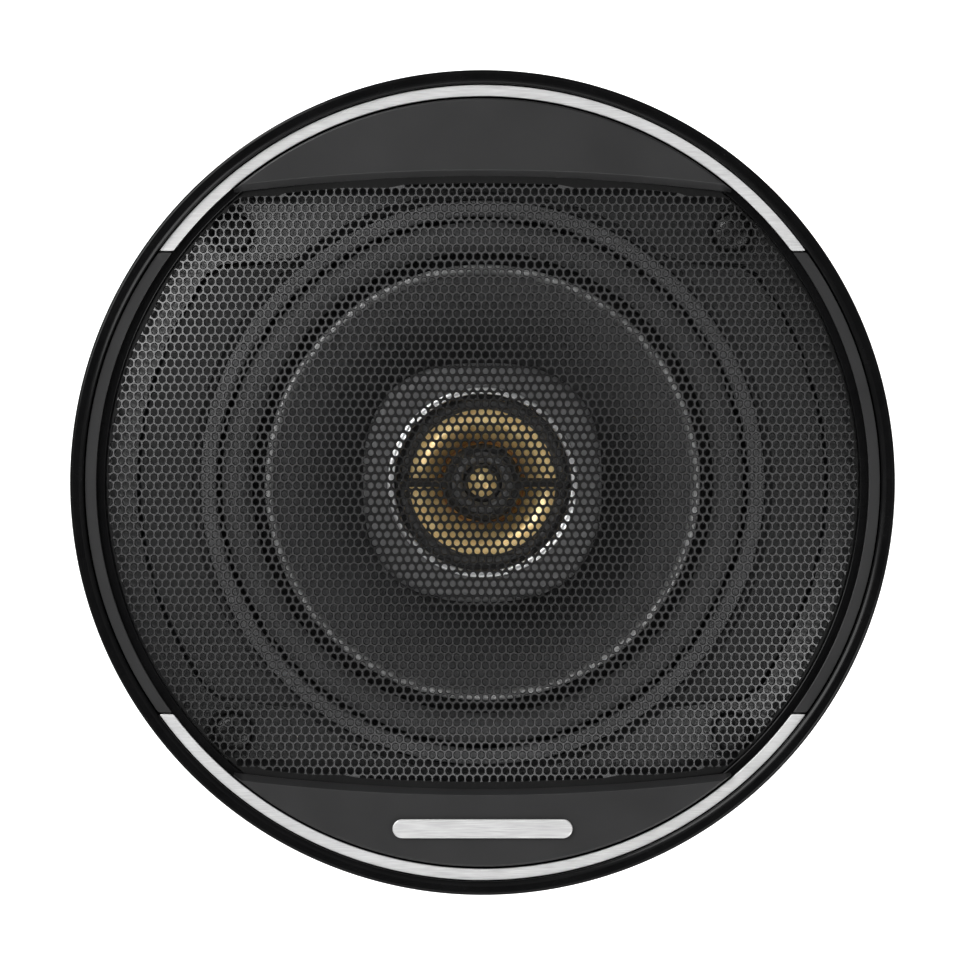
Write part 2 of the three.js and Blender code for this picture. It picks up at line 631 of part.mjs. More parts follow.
// A plain bar with round ends on the lower crescent.
function badgeBar() {
  const [length, height, z] = [34, 3.6, -65.4];
  const centre = (length - height) / 2;
  const shape = new THREE.Shape();
  shape.absarc(centre, z, height / 2, -Math.PI / 2, Math.PI / 2);
  shape.absarc(-centre, z, height / 2, Math.PI / 2, (3 * Math.PI) / 2);
  return plate(shape, CRESCENT_TOP + GAP, CRESCENT_TOP + 0.8, 8);
}

piece(grille, "grille_ring", grilleRing(), glossBlack);
piece(grille, "grille_mesh", grilleMesh(), meshPaint);
piece(grille, "silver_arc_top", inlayArc(true, 1), brushedSilver);
piece(grille, "silver_arc_bottom", inlayArc(true, -1), brushedSilver);
piece(grille, "side_arc_right", inlayArc(false, 1), darkSatin);
piece(grille, "side_arc_left", inlayArc(false, -1), darkSatin);
piece(grille, "crescent_top", crescent(1), darkSatin);
piece(grille, "crescent_bottom", crescent(-1), darkSatin);
piece(grille, "badge_bar", badgeBar(), brushedSilver);

export default group;
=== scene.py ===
"""The looks of a three-way coaxial car speaker with its round press-on grille.

Lengths are millimetres until a mesh is made. A height called "a" counts along the speaker's axis from the
panel towards the listener, so a point's y is -a. Outlines are lists of (radius, a) or (x, z) points.
"""

import json
import math

import bmesh
import bpy
import numpy as np
from mathutils import Matrix, Vector
from mathutils.geometry import delaunay_2d_cdt

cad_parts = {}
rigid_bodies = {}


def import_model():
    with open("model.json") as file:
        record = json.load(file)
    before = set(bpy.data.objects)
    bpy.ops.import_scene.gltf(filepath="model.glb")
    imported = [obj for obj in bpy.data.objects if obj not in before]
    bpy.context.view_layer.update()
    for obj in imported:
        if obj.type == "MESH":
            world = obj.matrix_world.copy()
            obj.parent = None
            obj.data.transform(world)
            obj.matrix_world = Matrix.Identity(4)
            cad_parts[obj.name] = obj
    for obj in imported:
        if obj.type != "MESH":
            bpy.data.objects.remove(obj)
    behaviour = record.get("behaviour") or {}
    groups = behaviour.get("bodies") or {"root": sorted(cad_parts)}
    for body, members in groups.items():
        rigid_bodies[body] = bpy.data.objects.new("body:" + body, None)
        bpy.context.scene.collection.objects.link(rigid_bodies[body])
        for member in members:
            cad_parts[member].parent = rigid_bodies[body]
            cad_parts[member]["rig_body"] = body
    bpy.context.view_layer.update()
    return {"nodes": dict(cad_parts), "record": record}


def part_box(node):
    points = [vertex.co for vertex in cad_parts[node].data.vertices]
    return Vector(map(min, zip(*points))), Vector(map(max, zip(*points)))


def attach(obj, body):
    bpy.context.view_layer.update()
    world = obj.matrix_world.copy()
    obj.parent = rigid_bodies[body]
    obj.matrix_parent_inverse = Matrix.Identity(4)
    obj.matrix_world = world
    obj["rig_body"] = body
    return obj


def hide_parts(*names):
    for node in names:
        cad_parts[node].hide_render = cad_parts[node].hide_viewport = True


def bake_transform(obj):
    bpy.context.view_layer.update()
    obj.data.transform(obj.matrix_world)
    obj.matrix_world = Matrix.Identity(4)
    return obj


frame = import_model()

MM = 0.001
SLOT_OF = {row["node"]: row["material_slot"] for row in frame["record"]["subparts"]}
BODY_OF = {node: row["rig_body"] for node, row in frame["nodes"].items()}


# ---- sizes, from the frame where it has them ----
def front(node):
    """Height of a node's foremost point."""
    return -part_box(node)[0].y / MM


def rear(node):
    """Height of a node's rearmost point."""
    return -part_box(node)[1].y / MM


def reach(node):
    """Distance of a node's outermost point from the axis, for a round node."""
    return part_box(node)[1].x / MM


RING_R = reach("grille_ring")
RING_TOP = front("grille_ring")
INLAY_R = reach("side_arc_right")
INLAY_TOP = front("side_arc_right")
INLAY_REAR = rear("side_arc_right")
INLAY_WIDTH = 2.15
CUT_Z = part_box("silver_arc_top")[0].z / MM
MESH_R = reach("grille_mesh")
MESH_TOP = front("grille_mesh")
MESH_T = 0.8
MESH_DROP = 5.3
CHORD_Z = 57.8
CHORD_R = 380
MESH_REAR = 0.15  # the rear face is this far behind the sheet's middle
MESH_LOW = MESH_TOP - MESH_T / 2 - MESH_DROP
MESH_DIP = 1.8
MESH_DIP_SPAN = 2.6  # height of the dome over which the dip grows to its full depth
MESH_DIP_REACH = 14  # how far from the edge the dip starts
CRESCENT_TOP = front("crescent_top")
CRESCENT_R = 72.6
CRESCENT_TIP = 47.0
BEVEL = 1.3
SHOULDER = 0.4
BASE_R = reach("grille_base")
BASE_TOP = front("grille_base")
BASE_IN_R = 55.2
SCREW = 47.4  # x and z of each screw
SCREW_PLACES = [(x, z) for x in (-SCREW, SCREW) for z in (-SCREW, SCREW)]
SCREW_DISTANCE = math.hypot(SCREW, SCREW)
DIAGONALS = [math.pi / 4 + k * math.pi / 2 for k in range(4)]  # of the ears, screws, windows and rivets
FLANGE_R = 57.6
EAR_HALF = 5.5
SHEET = 1.1
GASKET_R = reach("gasket_ring")
CONE_NECK_R = 13.05
CHROME_R = reach("chrome_ring")
POD_HALF = reach("pod_bezel")
POD_TOP = front("pod_bezel")
POD_POWER = 2.63
# painted shade: the sheet is painted darker in a patch over the pod
PAINTED_SHADE_HALF = 22  # half width of the sheet's darker patch over the pod
PAINTED_SHADE_R = 24.5  # reach of that patch's corners
MAGNET_R = reach("ferrite_magnet")
PLATE_R = reach("top_plate")
BACK_FACE = rear("back_yoke")

FINE = 224  # facets round the axis, from the largest pieces to the smallest
LARGE = 192
MIDDLE = 160
MEDIUM = 128
SMALL = 96
TINY = 64


# ---- outlines ----
def circle(count, radius=1.0, centre=(0, 0)):
    turns = [2 * math.pi * k / count for k in range(count)]
    return [(centre[0] + radius * math.cos(t), centre[1] + radius * math.sin(t)) for t in turns]


def arc(radius, start, end, count, centre=(0, 0)):
    turns = [start + (end - start) * k / count for k in range(count + 1)]
    return [(centre[0] + radius * math.cos(t), centre[1] + radius * math.sin(t)) for t in turns]


def rounded(outline, radius, steps=3):
    """A closed outline with its corners cut round. A corner on the axis stays as it is."""
    points = [Vector(p) for p in outline]
    result = []
    for i, p in enumerate(points):
        if abs(p.x) < 1e-6 and radius < 1:
            result.append(tuple(p))
            continue
        before = points[i - 1] - p
        after = points[(i + 1) % len(points)] - p
        cut = min(radius, before.length * 0.48, after.length * 0.48)
        first = p + before.normalized() * cut
        last = p + after.normalized() * cut
        for k in range(steps + 1):
            t = k / steps
            result.append(tuple(first * (1 - t) ** 2 + p * (2 * t * (1 - t)) + last * t * t))
    return result


def smooth(points, steps=6):
    """A smooth line through the points."""
    p = [Vector(q) for q in points]
    p = [2 * p[0] - p[1], *p, 2 * p[-1] - p[-2]]
    line = []
    for a, b, c, d in zip(p, p[1:], p[2:], p[3:]):
        for k in range(steps):
            t = k / steps
            bend = (2 * a - 5 * b + 4 * c - d) * t * t + (3 * b - a - 3 * c + d) * t**3
            line.append(0.5 * (2 * b + (c - a) * t + bend))
    return [*line, p[-2]]


def ribbon(path, thickness):
    """The closed outline of a sheet of even thickness that follows a path, with round edges."""
    points = [Vector(p) for p in path]
    half = thickness / 2
    alongs = [
        (points[min(i + 1, len(points) - 1)] - points[max(i - 1, 0)]).normalized()
        for i in range(len(points))
    ]
    sides = [Vector((-d.y, d.x)) for d in alongs]
    on_axis = points[0].x < 1e-6
    if on_axis:
        sides[0] = Vector((0, 1))
    upper = [p + side * half for p, side in zip(points, sides)]
    lower = [p - side * half for p, side in zip(points, sides)]
    turns = (math.pi / 4, math.pi / 2, 3 * math.pi / 4)
    end = [points[-1] + half * (sides[-1] * math.cos(t) + alongs[-1] * math.sin(t)) for t in turns]
    start = [points[0] - half * (sides[0] * math.cos(t) + alongs[0] * math.sin(t)) for t in turns]
    outline = [*upper, *end, *reversed(lower)] + ([] if on_axis else start)
    return [tuple(p) for p in outline]


def half_roll(r0, r1, a, height, steps=16):
    turns = [math.pi * k / steps for k in range(steps + 1)]
    middle, half = (r0 + r1) / 2, (r1 - r0) / 2
    return [(middle - half * math.cos(t), a + height * math.sin(t)) for t in turns]


def rounded_ends(loop, count, radius):
    """A closed loop with the corners at its two ends cut round."""
    corners = {0, count, count + 1, 2 * count + 1}
    result = []
    points = [Vector(p) for p in loop]
    for i, p in enumerate(points):
        if i not in corners:
            result.append(tuple(p))
            continue
        before = (points[i - 1] - p).normalized() * radius
        after = (points[(i + 1) % len(points)] - p).normalized() * radius
        for t in (0, 0.33, 0.67, 1):
            result.append(tuple((p + before) * (1 - t) ** 2 + p * (2 * t * (1 - t)) + (p + after) * t * t))
    return result


# ---- solids ----
def depsgraph():
    bpy.context.view_layer.update()
    return bpy.context.evaluated_depsgraph_get()


def added(name, data):
    """A new object in the scene."""
    thing = bpy.data.objects.new(name, data)
    bpy.context.scene.collection.objects.link(thing)
    return thing


def solid(name, verts, faces):
    """A closed mesh object from points in millimetres, each (x, a, z)."""
    mesh = bpy.data.meshes.new(name)
    mesh.from_pydata([(x * MM, -a * MM, z * MM) for x, a, z in verts], [], faces)
    bm = bmesh.new()
    bm.from_mesh(mesh)
    bmesh.ops.remove_doubles(bm, verts=bm.verts, dist=2e-6)
    bmesh.ops.recalc_face_normals(bm, faces=bm.faces)
    bm.to_mesh(mesh)
    bm.free()
    return added(name, mesh)


def turned(name, outline, facets=FINE):
    """A closed outline of (radius, a) points turned round the speaker's axis."""
    verts, rows, faces = [], [], []
    around = circle(facets)
    for r, a in outline:
        start = len(verts)
        if abs(r) < 1e-6:
            verts.append((0, a, 0))
            rows.append([start] * facets)
        else:
            verts += [(r * c, a, r * s) for c, s in around]
            rows.append(list(range(start, start + facets)))
    for one, two in zip(rows, [*rows[1:], rows[0]]):
        for k in range(facets):
            m = (k + 1) % facets
            corners = list(dict.fromkeys([one[k], one[m], two[m], two[k]]))
            if len(corners) > 2:
                faces.append(corners)
    return solid(name, verts, faces)


def inset(loop, distance):
    """A loop moved to its left: inwards if it turns left, so that a hole, which turns right, grows."""
    points = [Vector(p) for p in loop]
    result = []
    for i, p in enumerate(points):
        before = (p - points[i - 1]).normalized()
        after = (points[(i + 1) % len(points)] - p).normalized()
        one = Vector((-before.y, before.x))
        middle = (one + Vector((-after.y, after.x))).normalized()
        result.append(p + middle * (distance / max(0.35, middle.dot(one))))
    return result


def signed_area(loop):
    """The area inside a loop, below zero if it turns right."""
    return sum(a[0] * b[1] - b[0] * a[1] for a, b in zip(loop, [*loop[1:], loop[0]])) / 2


def filled(loops):
    """Triangles that fill the first loop and leave out the others, which are convex."""
    points, edges, loop_of = [], [], []
    for number, loop in enumerate(loops):
        start, count = len(points), len(loop)
        points += [Vector((p[0], p[1])) for p in loop]
        edges += [(start + k, start + (k + 1) % count) for k in range(count)]
        loop_of += [number] * count
    found = delaunay_2d_cdt(points, edges, [], 1, 1e-5)
    owners = [loop_of[sources[0]] if sources else 0 for sources in found[3]]
    kept = []
    for face in found[2]:
        touched = {owners[k] for k in face}
        if len(touched) > 1 or 0 in touched:
            kept.append(list(face))
    return [(p.x, p.y) for p in found[0]], kept


def quads(rows, count, closed=False):
    """The faces between rows of points, each row a closed loop. If closed, the last row joins the first."""
    faces = []
    for j in range(rows if closed else rows - 1):
        below, above = j * count, (j + 1) % rows * count
        for k in range(count):
            m = (k + 1) % count
            faces.append((below + k, below + m, above + m, above + k))
    return faces


def lofted(name, sections, closed=False):
    """A solid through sections of equal length, each a loop of (x, a, z) points, with its two ends filled.
    If closed, it has no ends and the last section joins the first."""
    count = len(sections[0])
    verts = [point for section in sections for point in section]
    faces = quads(len(sections), count, closed)
    if not closed:
        faces += [list(range(count)), list(range(len(verts) - count, len(verts)))]
    return solid(name, verts, faces)


def slab(name, loops, a0, a1, edge=0.25, steps=3, lift=None, upper_loops=None):
    """A plate between two heights with an outer (x, z) loop, holes and round edges.
    lift(x, z) raises each of its points. upper_loops are its loops at a1 where they differ."""
    lift = lift or (lambda x, z: 0)
    loops, upper_loops = [
        [loop if (signed_area(loop) > 0) == (i == 0) else loop[::-1] for i, loop in enumerate(side)]
        for side in (loops, upper_loops or loops)
    ]
    turns = [math.pi / 2 * k / steps for k in range(steps + 1)] if edge else [0]
    upper = [(edge * (1 - math.cos(t)), a1 - edge * (1 - math.sin(t))) for t in turns]
    rows = [(d, a0 + a1 - a, loops) for d, a in reversed(upper)] + [(d, a, upper_loops) for d, a in upper]
    verts, faces = [], []
    for number, outline in enumerate(loops):
        start = len(verts)
        for distance, a, source in rows:
            ring = inset(source[number], distance) if distance else source[number]
            verts += [(p[0], a + lift(p[0], p[1]), p[1]) for p in ring]
        faces += [[start + corner for corner in face] for face in quads(len(rows), len(outline))]
    for distance, a, source in (rows[0], rows[-1]):
        points, triangles = filled([inset(loop, distance) if distance else loop for loop in source])
        start = len(verts)
        verts += [(x, a + lift(x, z), z) for x, z in points]
        faces += [[start + k for k in f] for f in triangles]
    return solid(name, verts, faces)


def tube(name, line, radius, sides=16):
    """A round tube along a line of (x, a, z) points. radius is a number, or one for each point."""
    points = [Vector(p) for p in line]
    sizes = radius if isinstance(radius, list) else [radius] * len(points)
    sections = []
    side = Vector((0, 0, 1))
    for i, p in enumerate(points):
        along = (points[min(i + 1, len(points) - 1)] - points[max(i - 1, 0)]).normalized()
        side = (side - along * side.dot(along)).normalized()
        other = along.cross(side)
        sections.append([p + (side * c + other * s) * sizes[i] for c, s in circle(sides)])
    return lofted(name, sections)


def box(x0, x1, a0, a1, z0, z1):
    """A plain block, only ever a tool that cuts or joins."""
    verts = [(x, a, z) for x in (x0, x1) for a in (a0, a1) for z in (z0, z1)]
    faces = [(0, 1, 3, 2), (4, 6, 7, 5), (0, 4, 5, 1), (2, 3, 7, 6), (0, 2, 6, 4), (1, 5, 7, 3)]
    return solid("tool", verts, faces)


def disc(radius, a0, a1, x=0, z=0, facets=TINY):
    """A short cylinder along the axis, only ever a tool that cuts or joins."""
    return slab("tool", [circle(facets, radius, (x, z))], a0, a1, edge=0)


def settled(piece):
    """The piece with its modifiers applied."""
    mesh = bpy.data.meshes.new_from_object(piece.evaluated_get(depsgraph()))
    piece.modifiers.clear()
    piece.data = mesh
    return piece


def carved(piece, tools, operation="DIFFERENCE"):
    for tool in tools:
        step = piece.modifiers.new("carve", "BOOLEAN")
        step.operation = operation
        step.object = tool
        step.solver = "EXACT"
    settled(piece)
    for tool in tools:
        bpy.data.objects.remove(tool)
    return piece


def softened(piece, width, steps=2, angle=35):
    """Rounds the edges that are sharper than an angle."""
    bevel = piece.modifiers.new("soften", "BEVEL")
    bevel.width = width * MM
    bevel.segments = steps
    bevel.limit_method = "ANGLE"
    bevel.angle_limit = math.radians(angle)
    bevel.use_clamp_overlap = True
    return settled(piece)


def joined(name, parts):
    """Several solids as one piece."""
    bm = bmesh.new()
    for part in parts:
        part.data.transform(part.matrix_world)
        bm.from_mesh(part.data)
        bpy.data.objects.remove(part)
    mesh = bpy.data.meshes.new(name)
    bm.to_mesh(mesh)
    bm.free()
    return added(name, mesh)


def moved(piece, x, a, z):
    piece.data.transform(Matrix.Translation((x * MM, -a * MM, z * MM)))
    return piece


def four_copies(piece):
    """The piece at each quarter turn about the speaker's axis."""
    copies = []
    for k in range(4):
        twin = added(piece.name, piece.data.copy())
        twin.data.transform(Matrix.Rotation(-math.pi / 2 * k, 4, "Y"))
        copies.append(twin)
    bpy.data.objects.remove(piece)
    return copies


# ---- finishes ----
class Nodes:
    """A node tree, with short ways to add to it. A value is a number, a colour or another node's socket."""

    def __init__(self, tree):
        self.tree = tree

    def link(self, value, socket):
        if isinstance(value, bpy.types.NodeSocket):
            self.tree.links.new(value, socket)
        else:
            socket.default_value = value

    def math(self, operation, *values):
        node = self.tree.nodes.new("ShaderNodeMath")
        node.operation = operation
        for value, socket in zip(values, node.inputs):
            self.link(value, socket)
        return node.outputs[0]

    def parts(self, vector):
        """A vector's x, y and z."""
        node = self.tree.nodes.new("ShaderNodeSeparateXYZ")
        self.link(vector, node.inputs[0])
        return node.outputs

    def spread(self, value, low, high, start=0.3, end=0.7):
        """The value's range from start to end, moved to low to high."""
        node = self.tree.nodes.new("ShaderNodeMapRange")
        self.link(value, node.inputs["Value"])
        node.inputs["From Min"].default_value = start
        node.inputs["From Max"].default_value = end
        node.inputs["To Min"].default_value = low
        node.inputs["To Max"].default_value = high
        return node.outputs[0]


class Finish(Nodes):
    """A procedural material, built round one Principled shader. Its place is in millimetres."""

    def __init__(self, name):
        self.material = bpy.data.materials.new(name)
        self.material.use_nodes = True
        super().__init__(self.material.node_tree)
        self.shader = self.tree.nodes["Principled BSDF"]
        place = self.tree.nodes.new("ShaderNodeTexCoord")
        self.place = self.mapping(place.outputs["Object"], (1 / MM, 1 / MM, 1 / MM))

    def mapping(self, vector, scale):
        node = self.tree.nodes.new("ShaderNodeMapping")
        self.link(vector, node.inputs["Vector"])
        node.inputs["Scale"].default_value = scale
        return node.outputs["Vector"]

    def radius(self):
        """Distance from the speaker's axis."""
        x, _, z = self.parts(self.place)
        return self.math("SQRT", self.math("ADD", self.math("MULTIPLY", x, x), self.math("MULTIPLY", z, z)))

    def polar(self):
        """(distance from the axis, angle in radians, height)."""
        x, y, z = self.parts(self.place)
        whole = self.tree.nodes.new("ShaderNodeCombineXYZ")
        self.link(self.radius(), whole.inputs[0])
        self.link(self.math("ARCTAN2", z, x), whole.inputs[1])
        self.link(y, whole.inputs[2])
        return whole.outputs[0]

    def noise(self, vector, scale, detail=3.0, stretch=(1, 1, 1), distortion=0.0):
        node = self.tree.nodes.new("ShaderNodeTexNoise")
        self.link(self.mapping(vector, stretch), node.inputs["Vector"])
        node.inputs["Scale"].default_value = scale
        node.inputs["Detail"].default_value = detail
        node.inputs["Distortion"].default_value = distortion
        return node.outputs["Fac"]

    def cells(self, vector, scale):
        node = self.tree.nodes.new("ShaderNodeTexVoronoi")
        self.link(vector, node.inputs["Vector"])
        node.inputs["Scale"].default_value = scale
        return node.outputs["Distance"]

    def mixed(self, factor, one, two):
        node = self.tree.nodes.new("ShaderNodeMix")
        node.data_type = "RGBA"
        self.link(factor, node.inputs["Factor"])
        for colour, socket in ((one, node.inputs["A"]), (two, node.inputs["B"])):
            socket.default_value = (*colour, 1)
        return node.outputs["Result"]

    def relief(self, height, depth):
        node = self.tree.nodes.new("ShaderNodeBump")
        node.inputs["Strength"].default_value = 1
        node.inputs["Distance"].default_value = depth * MM
        self.link(height, node.inputs["Height"])
        self.link(node.outputs["Normal"], self.shader.inputs["Normal"])

    def done(self, colour, roughness, **sockets):
        self.link(colour, self.shader.inputs["Base Color"])
        self.link(roughness, self.shader.inputs["Roughness"])
        for name, value in sockets.items():
            self.shader.inputs[name.replace("_", " ")].default_value = value
        return self.material


def grained(name, dark, light, roughness, grain, depth, **sockets):
    """Moulded, cast or painted: a slow change of tone over a fine even grain."""
    f = Finish(name)
    broad = f.noise(f.place, 0.09, 4)
    fine = f.noise(f.place, grain, 5)
    tone = f.math("ADD", f.math("MULTIPLY", broad, 0.65), f.math("MULTIPLY", fine, 0.35))
    colour = f.mixed(f.spread(tone, 0, 1, 0.38, 0.62), dark, light)
    rough = f.spread(f.math("ADD", fine, f.math("MULTIPLY", broad, 0.6)), *roughness, 0.5, 1.1)
    f.relief(fine, depth)
    return f.done(colour, rough, **sockets)


def brushed(name, dark, light, roughness, **sockets):
    """Metal or metal paint with fine straight lines along X."""
    f = Finish(name)
    lines = f.noise(f.place, 6.0, 4, (0.035, 1, 1.3))
    broad = f.noise(f.place, 0.12, 3, (0.3, 1, 1))
    tone = f.math("ADD", f.math("MULTIPLY", lines, 0.8), f.math("MULTIPLY", broad, 0.2))
    colour = f.mixed(f.spread(tone, 0, 1), dark, light)
    f.relief(lines, 0.012)
    return f.done(colour, f.spread(lines, *roughness), **sockets)


def lathed(name, dark, light, roughness, pitch=9.0, depth=0.004, **sockets):
    """Metal with fine rings from turning or spinning."""
    f = Finish(name)
    polar = f.polar()
    rings = f.noise(polar, pitch, 3, (1, 0.25, 1))
    stains = f.noise(f.place, 0.16, 4)
    colour = f.mixed(f.spread(f.math("ADD", rings, stains), 0, 1, 0.75, 1.25), dark, light)
    f.relief(rings, depth)
    return f.done(colour, f.spread(f.math("ADD", rings, stains), *roughness, 0.75, 1.25), **sockets)


def pulp_painted_shade(name):
    """Pressed paper, painted darker and darker towards the neck: painted shade from the pod in front of it.
    """
    f = Finish(name)
    fibres = f.noise(f.place, 1.5, 8, (1, 1, 1), 1.4)
    clumps = f.noise(f.place, 0.32, 6, (1, 1, 1), 0.5)
    # painted shade: the tone falls from 40 mm in to 18 mm, where the pod shades the cone
    tone = f.math("MULTIPLY", f.spread(fibres, 0.7, 1, 0.35, 0.65), f.spread(f.radius(), 0, 1, 18, 40))
    colour = f.mixed(tone, (0.006, 0.006, 0.0063), (0.072, 0.072, 0.073))
    f.relief(f.math("ADD", fibres, f.math("MULTIPLY", clumps, 0.7)), 0.11)
    return f.done(colour, f.spread(clumps, 0.58, 0.78), Specular_IOR_Level=0.35)


def woven(name, dark, light, pitch, sheen):
    """Cloth with threads along X and Z."""
    f = Finish(name)
    x, _, z = f.parts(f.place)
    across = [f.math("SINE", f.math("MULTIPLY", place, 2 * math.pi / pitch)) for place in (x, z)]
    weave = f.math("ADD", f.math("MULTIPLY", *across), f.noise(f.place, 1.2, 3))
    colour = f.mixed(f.spread(weave, 0, 1, -0.2, 1.2), dark, light)
    f.relief(weave, 0.08)
    return f.done(colour, f.spread(weave, 0.75, 0.95, -0.2, 1.2), Sheen_Weight=sheen)


def ferrite(name):
    """Pressed and fired powder: dark, with pits and speckles."""
    f = Finish(name)
    speckle = f.cells(f.place, 2.2)
    broad = f.noise(f.place, 0.2, 6)
    tone = f.spread(f.math("ADD", speckle, broad), 0, 1, 0.6, 1.4)
    colour = f.mixed(tone, (0.012, 0.012, 0.013), (0.05, 0.05, 0.052))
    f.relief(f.math("ADD", f.noise(f.place, 1.6, 6), f.math("MULTIPLY", speckle, 0.4)), 0.09)
    return f.done(colour, f.spread(broad, 0.5, 0.75))


def plated(name, dark, light, roughness):
    """Plated metal: a soft patchy spangle with fine scratches."""
    f = Finish(name)
    patches = f.noise(f.place, 0.5, 5)
    scratches = f.noise(f.place, 5.0, 5, (0.15, 1, 1))
    tone = f.math("ADD", patches, f.math("MULTIPLY", scratches, 0.6))
    colour = f.mixed(f.spread(tone, 0, 1, 0.5, 1.1), dark, light)
    f.relief(f.math("ADD", scratches, f.noise(f.place, 0.5, 3)), 0.01)
    return f.done(colour, f.spread(tone, *roughness, 0.5, 1.1), Metallic=1.0)


def wound(name, dark, light, pitch):
    """Turns of wire side by side round the axis."""
    f = Finish(name)
    height = f.parts(f.place)[1]
    turns = f.math("ABSOLUTE", f.math("SINE", f.math("MULTIPLY", height, math.pi / pitch)))
    colour = f.mixed(f.math("MULTIPLY", turns, f.spread(f.noise(f.place, 0.6), 0.6, 1)), dark, light)
    f.relief(turns, 0.1)
    return f.done(colour, f.spread(turns, 0.45, 0.28, 0, 1), Metallic=1.0)


def gold_spun(name):
    """Spun aluminium with a gold anodised skin."""
    f = Finish(name)
    rings = f.noise(f.polar(), 7.0, 3, (1, 0.3, 0.2))
    broad = f.noise(f.place, 0.35, 3)
    tone = f.math("ADD", f.math("MULTIPLY", rings, 0.6), f.math("MULTIPLY", broad, 0.4))
    colour = f.mixed(f.spread(tone, 0, 1, 0.35, 0.65), (0.92, 0.60, 0.22), (1.0, 0.82, 0.42))
    f.relief(rings, 0.006)
    return f.done(colour, f.spread(rings, 0.3, 0.38), Metallic=0.6, Coat_Weight=1.0, Coat_Roughness=0.16)


def powder_coat_painted_light(name):
    """Paint on the mesh, with painted light: a painted reflection makes it paler away from the middle, and
    painted shade makes it dark again along the sheet's edge.
    """
    f = Finish(name)
    fine = f.noise(f.place, 2.4, 4)
    radius = f.radius()
    # painted reflection rising from 20 to 46 mm out, and painted shade falling again from 62 to 70 mm
    pale = f.math("MULTIPLY", f.spread(radius, 0, 1, 20, 46), f.spread(radius, 1, 0.3, 62, 70))
    tone = f.math("MULTIPLY", pale, f.spread(fine, 0.75, 1))
    colour = f.mixed(tone, (0.002, 0.002, 0.002), (0.0115, 0.0115, 0.0117))
    f.relief(fine, 0.004)
    shine = {"Specular_IOR_Level": 0.4, "Coat_Weight": 0.4, "Coat_Roughness": 0.26, "Coat_IOR": 1.5}
    return f.done(colour, f.spread(fine, 0.32, 0.4), **shine)


def coned_plastic(name):
    """Moulded plastic shaded as a shallow cone, whose face falls away towards its edge."""
    f = Finish(name)
    fine = f.noise(f.place, 3.2, 4)
    colour = f.mixed(fine, (0.007, 0.007, 0.0073), (0.0115, 0.0118, 0.012))
    f.relief(f.radius(), -0.2)
    return f.done(colour, f.spread(fine, 0.36, 0.46), Specular_IOR_Level=0.6)


